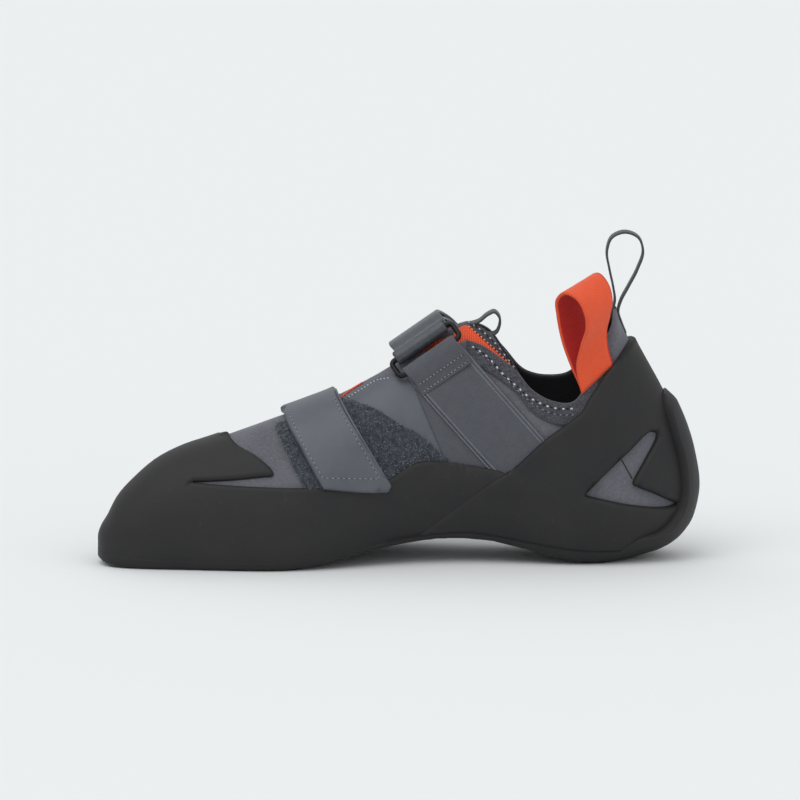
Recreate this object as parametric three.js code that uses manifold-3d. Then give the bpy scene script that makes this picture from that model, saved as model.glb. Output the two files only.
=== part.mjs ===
// A velcro climbing shoe for the right foot, standing empty on its sole.
// Millimetres. The origin is the middle of the heel's flat spot, on the floor.
// The toe points along -X, the big-toe side is -Y and +Z is up.
import * as THREE from "three";
import { mergeVertices } from "three/addons/utils/BufferGeometryUtils.js";
import Module from "manifold-3d";

const wasm = await Module();
wasm.setup();

// Driving sizes of the last
const shoeLength = 263;
const ballWidth = 94;
const instepHeight = 105;
const archHeight = 11.7;
const originShare = 0.851; // where the origin lies, from the toe, as a share of the length

// Thicknesses and clearances
const gap = 0.3; // between pieces that touch
const upperWall = 2;
const soleThickness = 4.5;
const soleWelt = 2.9; // how far the sole's edge stands out from the upper
const solePress = 0.6; // what the floor takes off the flat spots
const toeRubber = 1.8;
const heelRubber = 2.4;
const wrapThickness = 3.4; // sole rubber up the back of the heel
const insoleThickness = 2.8;
const windowInset = 10; // width of the upper's margin under the foot
const windowHeight = 9;
const collarBandWidth = 10;
const liningThickness = 0.8;
const tongueThickness = 3;
const collarBand = 1;
const patchThickness = 1;
const webbing = 1.2;
const underWebbing = 0.8;
const strapThickness = 2;
const foldedStrap = 1.6;
const strapWidth = 26;
const ringLength = 34;
const ringHeight = 11.5;
const ringRod = 2.4;
const ringLift = 3.9; // from the upper to the ring's middle
const tabHeight = 52;
const tabThickness = 1.6;
const loopHeight = 43;
const loopWidth = 8;
const loopThickness = 1;
const tongueLoopWidth = 9;
const tongueLoopHeight = 10;

const soleStack = soleThickness + gap;
const weld = 1e-4; // points nearer than this are one
const around = 24; // facets round a section
const roundSteps = 6; // facets of a half turn round a bar
const farOut = ballWidth; // past the side of everything
const middleLap = 0.02; // how far what is cut from one side reaches past the middle

const along = (share) => (share - originShare) * shoeLength;
const across = (share) => share * ballWidth;
const up = (share) => soleStack + share * instepHeight;

const table = (columns, ...rows) =>
  rows.map((row) => Object.fromEntries(columns.map((name, i) => [name, row[i]])));

// Sections of the upper's outside, from the tip of the toe to the back of the heel.
// at: share of the length. lift: share of the arch height. top: share of the instep height.
// inner, outer, ridge: shares of the ball width. wide: where the section is widest, of its height.
const sections = table(
  ["at", "lift", "top", "inner", "outer", "ridge", "wide", "squareLow", "squareTop"],
  [0.009, 0.573, 0.064, -0.181, -0.181, -0.181, 0.5, 2.2, 2],
  [0.014, 0.222, 0.103, -0.245, -0.101, -0.181, 0.45, 2.2, 2],
  [0.024, 0.103, 0.145, -0.289, -0.027, -0.176, 0.4, 2.4, 2],
  [0.041, 0.034, 0.226, -0.324, 0.048, -0.17, 0.36, 2.6, 1.9],
  [0.068, 0, 0.297, -0.351, 0.128, -0.16, 0.33, 2.8, 1.9],
  [0.102, 0, 0.369, -0.37, 0.207, -0.149, 0.3, 3, 1.9],
  [0.144, 0, 0.421, -0.387, 0.287, -0.138, 0.28, 3, 1.9],
  [0.189, 0, 0.457, -0.406, 0.362, -0.128, 0.27, 3, 1.9],
  [0.243, 0, 0.502, -0.428, 0.426, -0.117, 0.26, 3, 1.9],
  [0.296, 0, 0.55, -0.436, 0.473, -0.106, 0.26, 3, 1.85],
  [0.349, 0.137, 0.597, -0.421, 0.495, -0.096, 0.27, 2.9, 1.8],
  [0.402, 0.368, 0.65, -0.387, 0.498, -0.064, 0.28, 2.8, 1.8],
  [0.456, 0.632, 0.731, -0.34, 0.473, -0.043, 0.3, 2.7, 1.85],
  [0.509, 0.846, 0.823, -0.298, 0.436, -0.021, 0.32, 2.6, 1.9],
  [0.562, 1, 0.916, -0.268, 0.394, 0, 0.34, 2.6, 2],
  [0.608, 1, 0.973, -0.257, 0.362, 0.011, 0.35, 2.6, 2],
  [0.653, 0.915, 0.978, -0.26, 0.335, 0.011, 0.34, 2.6, 2],
  [0.699, 0.675, 0.969, -0.27, 0.317, 0.011, 0.32, 2.6, 2],
  [0.745, 0.385, 0.959, -0.285, 0.309, 0.005, 0.31, 2.6, 2],
  [0.79, 0.128, 0.964, -0.298, 0.304, 0, 0.3, 2.6, 2],
  [0.828, 0.017, 0.997, -0.3, 0.302, 0, 0.3, 2.6, 2],
  [0.855, 0, 1.016, -0.296, 0.298, 0, 0.3, 2.6, 2],
  [0.87, 0, 0.935, -0.29, 0.293, 0, 0.31, 2.6, 2],
  [0.885, 0.034, 0.848, -0.281, 0.283, 0, 0.32, 2.6, 2],
  [0.904, 0.154, 0.76, -0.262, 0.264, 0, 0.33, 2.5, 2],
  [0.923, 0.325, 0.673, -0.232, 0.234, 0, 0.34, 2.4, 2],
  [0.942, 0.598, 0.578, -0.189, 0.191, 0, 0.36, 2.3, 2],
  [0.957, 0.94, 0.488, -0.143, 0.145, 0, 0.4, 2.2, 2],
  [0.969, 1.385, 0.388, -0.087, 0.089, 0, 0.45, 2, 2],
  [0.976, 2.325, 0.259, 0, 0, 0, 0.5, 2, 2],
);

// Outlines as the shoe is seen from its side: shares of the length and of the instep height
const outline = (...rows) => table(["at", "up"], ...rows);

// The edge of the collar, from the throat to the top of the heel
const collarInner = outline(
  [0.611, 0.888],
  [0.643, 0.855],
  [0.691, 0.769],
  [0.718, 0.692],
  [0.748, 0.648],
  [0.781, 0.636],
  [0.798, 0.669],
  [0.817, 0.764],
  [0.84, 0.892],
  [0.853, 0.959],
  [0.859, 1.021],
);
const collarOuter = outline(
  [0.611, 0.916],
  [0.646, 0.883],
  [0.676, 0.802],
  [0.703, 0.721],
  [0.726, 0.691],
  [0.752, 0.684],
  [0.779, 0.693],
  [0.798, 0.73],
  [0.817, 0.792],
  [0.84, 0.892],
  [0.853, 0.959],
  [0.859, 1.021],
);

// The throat, seen from above
const throat = table(
  ["at", "across"],
  [0.397, 0],
  [0.401, -0.043],
  [0.412, -0.068],
  [0.471, -0.089],
  [0.547, -0.117],
  [0.63, -0.154],
  [0.63, 0.191],
  [0.547, 0.181],
  [0.471, 0.154],
  [0.418, 0.117],
  [0.402, 0.074],
);

// The line where the sole's edge ends on the side
const soleEdge = outline(
  [-0.008, 0.008],
  [0.022, -0.004],
  [0.091, -0.011],
  [0.205, -0.011],
  [0.3, -0.006],
  [0.376, 0.017],
  [0.437, 0.046],
  [0.478, 0.067],
  [0.524, 0.082],
  [0.585, 0.093],
  [0.623, 0.093],
  [0.668, 0.078],
  [0.718, 0.055],
  [0.767, 0.034],
  [0.813, 0.023],
  [0.859, 0.023],
  [0.897, 0.04],
  [0.935, 0.065],
  [1.018, 0.088],
);

// Top edge of the rand and of the patch over the toes, big-toe side
const toeRandInner = outline(
  [-0.024, 0.669],
  [0.199, 0.669],
  [0.201, 0.473],
  [0.231, 0.459],
  [0.269, 0.417],
  [0.294, 0.37],
  [0.296, 0.347],
  [0.224, 0.325],
  [0.163, 0.315],
  [0.182, 0.31],
  [0.268, 0.305],
  [0.353, 0.301],
  [0.425, 0.307],
  [0.478, 0.324],
  [0.488, 0.35],
  [0.522, 0.396],
  [0.564, 0.396],
  [0.634, 0.37],
  [0.676, 0.345],
  [0.737, 0.24],
  [0.737, -0.008],
);
const toeRandOuter = outline(
  [-0.024, 0.669],
  [0.199, 0.669],
  [0.205, 0.45],
  [0.235, 0.392],
  [0.273, 0.335],
  [0.326, 0.303],
  [0.425, 0.307],
  [0.522, 0.345],
  [0.6, 0.364],
  [0.676, 0.345],
  [0.737, 0.24],
  [0.737, -0.008],
);

// The rand round the heel: front seam, top edge, then round behind the heel
const heelRand = outline(
  [0.501, 0.04],
  [0.539, 0.109],
  [0.578, 0.175],
  [0.623, 0.255],
  [0.661, 0.322],
  [0.691, 0.368],
  [0.711, 0.415],
  [0.743, 0.488],
  [0.781, 0.556],
  [0.803, 0.598],
  [0.807, 0.655],
  [0.853, 0.792],
  [0.884, 0.882],
  [0.927, 0.882],
  [1.041, 0.621],
  [1.041, -0.008],
);

// The cut window in the side of the heel rand
const heelWindow = outline(
  [0.811, 0.263],
  [0.851, 0.339],
  [0.885, 0.425],
  [0.917, 0.522],
  [0.929, 0.51],
  [0.902, 0.402],
  [0.884, 0.303],
  [0.919, 0.25],
  [0.956, 0.198],
  [0.935, 0.194],
  [0.874, 0.221],
);

// Half the width of the sole's wrap behind the heel, going up
const wrap = table(
  ["up", "half"],
  [0.03, 0.234],
  [0.107, 0.218],
  [0.183, 0.186],
  [0.259, 0.154],
  [0.364, 0.134],
  [0.478, 0.128],
  [0.564, 0.117],
  [0.611, 0.091],
  [0.635, 0.043],
);

// The fuzzy patch, the two webbing bands and the strap end, all on the big-toe side
const loopPatch = outline(
  [0.292, 0.535],
  [0.319, 0.55],
  [0.364, 0.592],
  [0.41, 0.636],
  [0.452, 0.616],
  [0.482, 0.58],
  [0.507, 0.54],
  [0.53, 0.514],
  [0.562, 0.448],
  [0.592, 0.373],
  [0.486, 0.278],
  [0.361, 0.278],
);
const band = outline([0.514, 0.735], [0.602, 0.869], [0.775, 0.41], [0.676, 0.31]);
const underBand = outline([0.53, 0.664], [0.6, 0.316], [0.676, 0.31]);

const frontStrapInner = outline(
  [0.307, 0.811],
  [0.31, 0.583],
  [0.374, 0.291],
  [0.471, 0.272],
  [0.481, 0.28],
  [0.485, 0.303],
  [0.475, 0.345],
  [0.395, 0.678],
  [0.395, 0.811],
);
const frontStrapOuter = outline(
  [0.307, 0.811],
  [0.311, 0.545],
  [0.341, 0.24],
  [0.433, 0.24],
  [0.402, 0.583],
  [0.395, 0.811],
);

// Where the strap's lift eases from the rand's height to the upper's, as shares of the ball width
const strapEase = { from: -0.085, to: 0.17 };
const hookPad = outline([0.334, 0.516], [0.38, 0.316], [0.463, 0.316], [0.399, 0.592]);

// The lining at the throat and the tongue, from above and from the side
const liningPlan = table(
  ["at", "across"],
  [0.391, -0.128],
  [0.391, -0.021],
  [0.471, -0.049],
  [0.547, -0.074],
  [0.623, -0.112],
  [0.668, -0.128],
  [0.668, -0.202],
  [0.623, -0.213],
  [0.471, -0.191],
);
const liningTop = outline([0.376, 1.021], [0.577, 1.021], [0.623, 0.921], [0.668, 0.826]);
const tonguePlan = table(
  ["at", "across"],
  [0.341, -0.149],
  [0.471, -0.16],
  [0.547, -0.181],
  [0.699, -0.191],
  [0.699, 0.245],
  [0.547, 0.255],
  [0.471, 0.223],
  [0.341, 0.16],
);
const tongueTop = outline(
  [0.319, 1.021],
  [0.6, 1.021],
  [0.63, 0.973],
  [0.655, 0.926],
  [0.676, 0.84],
  [0.695, 0.754],
  [0.707, 0.697],
);
const tongueEnd = { at: 0.653, up: 0.945 };

// Where the ring lies, and the routes of what folds round it.
// down: distance down the surface, of the ring's height. lift: of the ring's lift.
// leg: before or after the fold.
const ringPlace = { at: 0.549, up: 0.824 };
const bandFold = table(
  ["leg", "at", "down", "lift"],
  [0, 0.577, 1.15, 0.23],
  [0, 0.57, 0.85, 0.25],
  [1, 0.568, 0.8, 1.3],
  [1, 0.572, 0.95, 0.98],
  [1, 0.576, 1.1, 0.68],
  [1, 0.579, 1.22, 0.62],
);
const strapUnder = table(
  ["at", "turn", "lift"],
  [0.623, -0.245, 0.36],
  [0.608, -0.21, 0.36],
  [0.591, -0.17, 0.36],
  [0.573, -0.13, 0.36],
  [0.556, -0.09, 0.36],
  [0.543, -0.05, 0.38],
  [0.537, -0.015, 0.4],
  [0.538, 0.02, 0.41],
  [0.543, 0.055, 0.41],
);
const strapOver = table(
  ["at", "turn", "lift"],
  [0.543, 0.055, 1.56],
  [0.538, 0.02, 1.5],
  [0.537, -0.015, 1.4],
  [0.543, -0.05, 1.24],
  [0.556, -0.09, 1.06],
  [0.573, -0.13, 0.92],
  [0.587, -0.16, 0.88],
);

// The pull tab's two edges, from its base outside the collar, over the top and down inside,
// as shares of its height from its place on the upper
const tabPlace = { at: 0.8, up: 0.678 };
const tabRoute = table(
  ["frontAlong", "frontAcross", "frontUp", "backAlong", "backAcross", "backUp"],
  [0.006, -0.023, -0.012, 0.271, 0.031, 0.231],
  [-0.038, -0.056, 0.227, 0.227, 0.027, 0.396],
  [-0.006, -0.113, 0.398, 0.217, 0.012, 0.527],
  [0.038, -0.19, 0.577, 0.242, 0, 0.66],
  [0.025, -0.219, 0.683, 0.26, 0, 0.788],
  [-0.027, -0.21, 0.792, 0.227, 0.031, 0.912],
  [-0.144, -0.113, 0.846, 0.16, 0.096, 0.985],
  [-0.212, -0.017, 0.762, 0.092, 0.192, 0.942],
  [-0.202, 0.021, 0.654, 0.067, 0.24, 0.808],
  [-0.156, 0.06, 0.415, 0.096, 0.231, 0.577],
  [-0.069, 0.06, 0.173, 0.183, 0.173, 0.365],
  [0, 0.056, 0.012, 0.24, 0.112, 0.24],
  [0.029, 0.048, -0.115, 0.279, 0.096, 0.154],
);

// The thin loop at the middle of the heel, from its outer leg over to its inner leg
const heelTop = { at: 0.859, up: 1.002 };
const backRoute = table(
  ["along", "up"],
  [0.121, -0.233],
  [0.086, -0.144],
  [0.049, -0.019],
  [0.051, 0.07],
  [0.123, 0.209],
  [0.223, 0.407],
  [0.274, 0.581],
  [0.228, 0.716],
  [0.088, 0.772],
  [-0.044, 0.716],
  [-0.091, 0.586],
  [-0.065, 0.395],
  [-0.026, 0.209],
  [-0.009, 0.07],
  [-0.023, 0],
  [-0.021, -0.079],
  [-0.007, -0.163],
  [0.005, -0.233],
);
const tongueRoute = table(
  ["along", "up"],
  [-0.9, 0.09],
  [-0.5, 0.12],
  [-0.16, 0.32],
  [0.14, 0.42],
  [0.34, 0.22],
  [0.36, -0.18],
  [0.2, -0.5],
  [-0.15, -0.58],
  [-0.5, -0.56],
);

const named = {
  rubber: { color: 0x2b2b2d, roughness: 0.75, metalness: 0 },
  suede: { color: 0x5b5c62, roughness: 0.95, metalness: 0 },
  knit: { color: 0x4b4b52, roughness: 0.95, metalness: 0 },
  fuzz: { color: 0x464b53, roughness: 1, metalness: 0 },
  weave: { color: 0x585a62, roughness: 0.8, metalness: 0 },
  smooth: { color: 0x50545c, roughness: 0.6, metalness: 0 },
  lining: { color: 0xfc5c30, roughness: 0.9, metalness: 0 },
  board: { color: 0x303236, roughness: 0.95, metalness: 0 },
  plastic: { color: 0x191b1e, roughness: 0.35, metalness: 0 },
};

// Surface of the last

const between = (a, b, share) => a + (b - a) * share;

// The section at a place along the shoe, read between two rows
function sectionAt(at) {
  const last = sections.length - 1;
  const after = Math.min(Math.max(sections.findIndex((row) => row.at >= at), 1), last);
  const from = sections[at > sections[last].at ? last - 1 : after - 1];
  const to = sections[at > sections[last].at ? last : after];
  const share = Math.min(Math.max((at - from.at) / (to.at - from.at), 0), 1);
  return Object.fromEntries(Object.keys(from).map((key) => [key, between(from[key], to[key], share)]));
}

// A point of a section: turn goes from 0 at the ridge, by the big-toe side, under the foot and back
function pointOf(row, turn) {
  const angle = turn * 2 * Math.PI;
  const side = across(Math.sin(angle) >= 0 ? row.inner : row.outer);
  const high = Math.cos(angle) >= 0;
  const square = high ? row.squareTop : row.squareLow;
  const bottom = soleStack + row.lift * archHeight;
  const top = up(row.top);
  const wide = between(bottom, top, row.wide);
  const middle = high ? across(row.ridge) : across(row.inner + row.outer) / 2;
  const outward = Math.abs(Math.sin(angle)) ** (2 / square);
  const upward = Math.abs(Math.cos(angle)) ** (2 / square);
  return new THREE.Vector3(
    along(row.at),
    between(middle, side, outward),
    between(wide, high ? top : bottom, upward),
  );
}

const surfacePoint = (at, turn) => pointOf(sectionAt(at), turn);

// A point lifted off the surface, and the surface's directions there
function frameAt(at, turn) {
  const step = 0.004;
  const lengthwise = surfacePoint(at + step, turn).sub(surfacePoint(at - step, turn));
  const crosswise = surfacePoint(at, turn + step).sub(surfacePoint(at, turn - step));
  return {
    point: surfacePoint(at, turn),
    lengthwise: lengthwise.clone().normalize(),
    perTurn: crosswise.length() / (2 * step),
    outward: crosswise.clone().cross(lengthwise).normalize(),
  };
}

// The turn on the big-toe side at which the surface has a height
function turnAtHeight(at, height) {
  let [low, high] = [0, 0.25];
  for (let pass = 0; pass < 30; pass++) {
    const middle = (low + high) / 2;
    if (surfacePoint(at, middle).z > height) low = middle;
    else high = middle;
  }
  return low;
}

// Solids

function solid(geometry) {
  geometry.deleteAttribute("normal");
  geometry.deleteAttribute("uv");
  const merged = mergeVertices(geometry, weld);
  const index = merged.index.array;
  const triangles = [];
  for (let i = 0; i < index.length; i += 3) {
    const [a, b, c] = index.slice(i, i + 3);
    if (a !== b && b !== c && c !== a) triangles.push(a, b, c);
  }
  const build = (triVerts) =>
    new wasm.Manifold(
      new wasm.Mesh({
        numProp: 3,
        vertProperties: merged.attributes.position.array,
        triVerts: new Uint32Array(triVerts),
      }),
    );
  const made = build(triangles);
  return made.volume() > 0 ? made : build(triangles.reverse());
}

// A closed skin over rings of points; each ring has the same number of points
function skin(rings, closedEnds) {
  const count = rings[0].length;
  const index = [];
  for (let i = 0; i + 1 < rings.length; i++)
    for (let j = 0; j < count; j++) {
      const [a, b] = [i * count + j, i * count + ((j + 1) % count)];
      index.push(a, b, b + count, a, b + count, a + count);
    }
  if (closedEnds) {
    const last = (rings.length - 1) * count;
    for (let j = 1; j + 1 < count; j++) index.push(0, j + 1, j, last, last + j, last + j + 1);
  }
  const geometry = new THREE.BufferGeometry();
  geometry.setFromPoints(rings.flat());
  geometry.setIndex(index);
  return geometry;
}

// The last's own surface, with the normals of its points
function lastSurface() {
  const turns = Array.from({ length: around }, (_, i) => i / around);
  const rings = sections.map((row) => turns.map((turn) => pointOf(row, turn)));
  const surface = mergeVertices(skin(rings, false), weld);
  surface.computeVertexNormals();
  return surface;
}

// The whole last, moved off its surface by a distance that may depend on the place
function form(lift) {
  const liftAt = typeof lift === "function" ? lift : () => lift;
  const base = lastSurface();
  const { position, normal } = base.attributes;
  const spread = new THREE.Vector3();
  const middle = new THREE.Vector3();
  for (let i = 0; i < position.count; i++) {
    middle.fromBufferAttribute(position, i);
    spread.fromBufferAttribute(normal, i).multiplyScalar(skinSign * liftAt(middle));
    position.setXYZ(i, ...middle.add(spread));
  }
  return solid(base);
}

// The skin's triangles may face in: the sign tells which way its normals point
const skinSign = (() => {
  const { position, normal } = lastSurface().attributes;
  let facing = 0;
  for (let i = 0; i < position.count; i++)
    facing += normal.getY(i) * position.getY(i);
  return Math.sign(facing);
})();

const layer = (inside, outside) => form(outside).subtract(form(inside));

// A prism over points of a plane
function prism(points, from, to, place) {
  const shape = new THREE.Shape(points.map(([x, y]) => new THREE.Vector2(x, y)));
  const geometry = new THREE.ExtrudeGeometry(shape, { depth: to - from, bevelEnabled: false, steps: 1 });
  geometry.translate(0, 0, from);
  geometry.applyMatrix4(place);
  return solid(geometry);
}

const basis = (x, y, z) => new THREE.Matrix4().makeBasis(
  new THREE.Vector3(...x),
  new THREE.Vector3(...y),
  new THREE.Vector3(...z),
);
const seenFromSide = basis([1, 0, 0], [0, 0, 1], [0, -1, 0]);
const seenFromAbove = basis([1, 0, 0], [0, 1, 0], [0, 0, 1]);
const seenFromBehind = basis([0, 1, 0], [0, 0, 1], [1, 0, 0]);

const sidePoints = (rows) => rows.map((row) => [along(row.at), up(row.up)]);
const abovePoints = (rows) => rows.map((row) => [along(row.at), across(row.across)]);

// The outline with each corner moved outward
function widen(points, by) {
  const turned = points.reduce((sum, [x, y], i) => {
    const [u, v] = points[(i + 1) % points.length];
    return sum + x * v - u * y;
  }, 0);
  const sign = Math.sign(turned);
  return points.map(([x, y], i) => {
    const [px, py] = points[(i + points.length - 1) % points.length];
    const [nx, ny] = points[(i + 1) % points.length];
    const back = new THREE.Vector2(x - px, y - py).normalize();
    const ahead = new THREE.Vector2(nx - x, ny - y).normalize();
    const normal = new THREE.Vector2(back.y + ahead.y, -back.x - ahead.x).normalize();
    const reach = by / Math.max(normal.dot(new THREE.Vector2(back.y, -back.x)), 0.5);
    return [x + sign * reach * normal.x, y + sign * reach * normal.y];
  });
}

const innerSide = (points) => prism(points, -middleLap, farOut, seenFromSide);
const outerSide = (points) => prism(points, -farOut, middleLap, seenFromSide);
const bothSides = (points) => prism(points, -farOut, farOut, seenFromSide);

// What lies above a line, or below it, as a closed outline
const tall = 2 * instepHeight;
const above = (points) => [...points, [points.at(-1)[0], tall], [points[0][0], tall]];
const below = (points) => [...points, [points.at(-1)[0], -tall], [points[0][0], -tall]];

// A flat band swept along a route of rows: each row has a middle, a width direction and a normal
function ribbon(rows, width, thickness) {
  const rings = rows.map(({ middle, wide, thick }) =>
    [[-1, -1], [1, -1], [1, 1], [-1, 1]].map(([w, t]) =>
      middle.clone().addScaledVector(wide, (w * width) / 2).addScaledVector(thick, (t * thickness) / 2),
    ),
  );
  return solid(skin(rings, true));
}

// Pieces of the lower

const soleLine = sidePoints(soleEdge);
const raised = (points, by) => points.map(([x, z]) => [x, z + by]);

// The last's own outline from above
function planOutline() {
  const inner = sections.map((row) => [along(row.at), across(row.inner)]);
  const outer = sections.slice(1, -1).map((row) => [along(row.at), across(row.outer)]).reverse();
  return [...inner, ...outer];
}

function makeOutsole() {
  const plan = prism(widen(planOutline(), soleWelt), 0, tall, seenFromAbove);
  const base = form(soleThickness + gap + solePress)
    .intersect(plan)
    .intersect(bothSides(below(soleLine)))
    .subtract(form(gap));
  const inside = gap + heelRubber + gap;
  const half = wrap.map((row) => [across(row.half), up(row.up)]);
  const mirrored = half.map(([y, z]) => [-y, z]).reverse();
  const behind = prism([...half, ...mirrored], along(originShare), farOut, seenFromBehind);
  return base.add(layer(inside, inside + wrapThickness).intersect(behind));
}

const aboveSole = () => bothSides(below(raised(soleLine, gap)));

function toeRegion(rise) {
  const inner = innerSide(below(raised(sidePoints(toeRandInner), rise)));
  return inner.add(outerSide(below(raised(sidePoints(toeRandOuter), rise))));
}

const heelRegion = (grow) => bothSides(widen(sidePoints(heelRand), grow));

const makeToeRand = () =>
  layer(gap, gap + toeRubber).intersect(toeRegion(0)).subtract(aboveSole()).subtract(heelRegion(gap));

const makeHeelRand = () =>
  layer(gap, gap + heelRubber)
    .intersect(heelRegion(0))
    .subtract(aboveSole())
    .subtract(bothSides(sidePoints(heelWindow)));

// A line that follows the last's underside, at a height above it
const underLine = (height) =>
  sections.slice(3, -3).map((row) => [along(row.at), soleStack + row.lift * archHeight + height]);

// The opening under the foot, seen from above
function underWindow(inset) {
  const rows = sections.slice(5, -5);
  const inner = rows.map((row) => [along(row.at), across(row.inner) + inset]);
  const outer = rows.map((row) => [along(row.at), across(row.outer) - inset]).reverse();
  return prism([...inner, ...outer], -tall, tall, seenFromAbove);
}

function makeInsole() {
  const under = bothSides(below(underLine(upperWall + gap + insoleThickness)));
  const boss = form(0).intersect(underWindow(windowInset + gap));
  return form(-upperWall - gap).add(boss).intersect(under);
}

// Pieces of the upper

function collarCut(rise) {
  const inner = innerSide(above(raised(sidePoints(collarInner), rise)));
  return inner.add(outerSide(above(raised(sidePoints(collarOuter), rise))));
}

const throatCut = () => prism(abovePoints(throat), instepHeight / 2, tall, seenFromAbove);

const makeUpper = () =>
  layer(-upperWall, 0)
    .subtract(collarCut(0))
    .subtract(throatCut())
    .subtract(underWindow(windowInset).intersect(bothSides(below(underLine(windowHeight)))));

// The space that the upper's wall takes up, with its clearance
const wallZone = () => layer(-upperWall - gap, gap).subtract(collarCut(gap));

function makeCollarBand(rows, side) {
  const edge = sidePoints(rows.slice(0, 6));
  return layer(gap, gap + collarBand)
    .intersect(side([...edge, ...raised(edge, -collarBandWidth).reverse()]))
    .subtract(heelRegion(gap))
    .subtract(innerSide(widen(sidePoints(band), gap)))
    .subtract(strapLoop(gap));
}

const liningLift = -upperWall - gap;

const makeThroatLining = () =>
  layer(liningLift - liningThickness, liningLift)
    .intersect(prism(abovePoints(liningPlan), instepHeight / 2, tall, seenFromAbove))
    .intersect(bothSides(below(sidePoints(liningTop))));

function tongueForm(grow) {
  const lift = liningLift - liningThickness - gap;
  return layer(lift - tongueThickness - grow, lift + grow)
    .intersect(prism(abovePoints(tonguePlan), instepHeight / 2, tall, seenFromAbove))
    .intersect(bothSides(below(raised(sidePoints(tongueTop), grow))));
}

const makeWebbingBand = () =>
  layer(gap, gap + webbing)
    .intersect(innerSide(sidePoints(band)))
    .subtract(toeRegion(gap))
    .subtract(heelRegion(gap))
    .add(bandLoop(0).subtract(form(gap)));

const makeUnderBand = () =>
  layer(gap, gap + underWebbing)
    .intersect(innerSide(sidePoints(underBand)))
    .subtract(innerSide(widen(sidePoints(band), gap)))
    .subtract(bandLoop(gap))
    .subtract(toeRegion(gap));

const makeLoopPatch = () =>
  layer(gap, gap + patchThickness)
    .intersect(innerSide(sidePoints(loopPatch)))
    .subtract(innerSide(widen(sidePoints(band), gap)))
    .subtract(innerSide(widen(sidePoints(underBand), gap)))
    .subtract(toeRegion(gap));

// The strap lies on the rand on the big-toe side and on the upper on the other
function makeFrontStrap() {
  const eased = (point) => (point.y - across(strapEase.from)) / across(strapEase.to - strapEase.from);
  const rise = (point) => gap + THREE.MathUtils.clamp(1 - eased(point), 0, 1) * (toeRubber + gap);
  const cover = form((point) => rise(point) + strapThickness).subtract(form(rise));
  const inner = cover.intersect(innerSide(sidePoints(frontStrapInner)));
  const outer = cover.intersect(outerSide(sidePoints(frontStrapOuter))).subtract(toeRegion(gap));
  const pad = layer(gap + patchThickness + gap, gap + toeRubber + gap + strapThickness / 2)
    .intersect(innerSide(sidePoints(hookPad)))
    .subtract(toeRegion(gap));
  return inner.add(outer).add(pad);
}

// The ring and what folds round it

const ringTurn = turnAtHeight(ringPlace.at, up(ringPlace.up));
const ringFrame = frameAt(ringPlace.at, ringTurn);

function makeRing() {
  const rounded = (length, height, radius) => {
    const path = new THREE.Shape();
    const [x, y] = [length / 2 - radius, height / 2 - radius];
    path.absarc(x, y, radius, 0, Math.PI / 2);
    path.absarc(-x, y, radius, Math.PI / 2, Math.PI);
    path.absarc(-x, -y, radius, Math.PI, 1.5 * Math.PI);
    path.absarc(x, -y, radius, 1.5 * Math.PI, 2 * Math.PI);
    return path;
  };
  const shape = rounded(ringLength, ringHeight, ringRod);
  shape.holes.push(rounded(ringLength - 2 * ringRod, ringHeight - 2 * ringRod, ringRod / 4));
  const bevel = ringRod / 5;
  const geometry = new THREE.ExtrudeGeometry(shape, {
    depth: ringRod - 2 * bevel,
    bevelSize: bevel,
    bevelOffset: -bevel,
    bevelThickness: bevel,
    bevelSegments: 1,
    curveSegments: 3,
    steps: 1,
  });
  geometry.translate(0, 0, bevel - ringRod / 2);
  const { lengthwise, outward, point } = ringFrame;
  const place = new THREE.Matrix4()
    .makeBasis(lengthwise, outward.clone().cross(lengthwise), outward)
    .setPosition(point.clone().addScaledVector(outward, ringLift));
  geometry.applyMatrix4(place);
  return solid(geometry);
}

// A place beside the ring: distance down from its middle, and lift, in the ring's own plane
const besideRing = (down, lift) => ({
  wide: ringFrame.lengthwise,
  middle: ringFrame.point.clone()
    .addScaledVector(ringFrame.lengthwise.clone().cross(ringFrame.outward), down)
    .addScaledVector(ringFrame.outward, lift),
});

// A place over the upper
function overUpper(at, turn, lift) {
  const { point, outward, lengthwise } = frameAt(at, turn);
  return { lengthwise, middle: point.addScaledVector(outward, lift) };
}

// The half turn of a band round one of the ring's bars; side is 1 for the lower bar
function turnRound(side, thickness) {
  const bar = (side * (ringHeight - ringRod)) / 2;
  const radius = ringRod / 2 + gap + thickness / 2;
  const past = bar + (side * ringRod) / 1.5;
  const round = Array.from({ length: roundSteps + 1 }, (_, i) => {
    const angle = (Math.PI * i) / roundSteps;
    return besideRing(bar - side * radius * Math.sin(angle), ringLift - radius * Math.cos(angle));
  });
  return [besideRing(past, ringLift - radius), ...round, besideRing(past, ringLift + radius)];
}

// A ribbon along places, flat across its run
function routeBand(places, width, thickness) {
  const rows = places.map((row, i) => {
    const [a, b] = [Math.max(i - 1, 0), Math.min(i + 1, places.length - 1)];
    const run = places[b].middle.clone().sub(places[a].middle).normalize();
    const square = (vector) => vector.clone().addScaledVector(run, -run.dot(vector)).normalize();
    const wide = row.wide ?? square(row.lengthwise);
    return { middle: row.middle, wide, thick: run.cross(wide).normalize() };
  });
  return ribbon(rows, width, thickness);
}

function bandLoop(clearance) {
  const turnOf = (row) => ringTurn + (row.down * ringHeight) / ringFrame.perTurn;
  const leg = (number) => bandFold.filter((row) => row.leg === number)
    .map((row) => overUpper(row.at, turnOf(row), row.lift * ringLift));
  const route = [...leg(0), ...turnRound(1, webbing), ...leg(1)];
  return routeBand(route, strapWidth + 2 * clearance, webbing + 2 * clearance);
}

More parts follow.
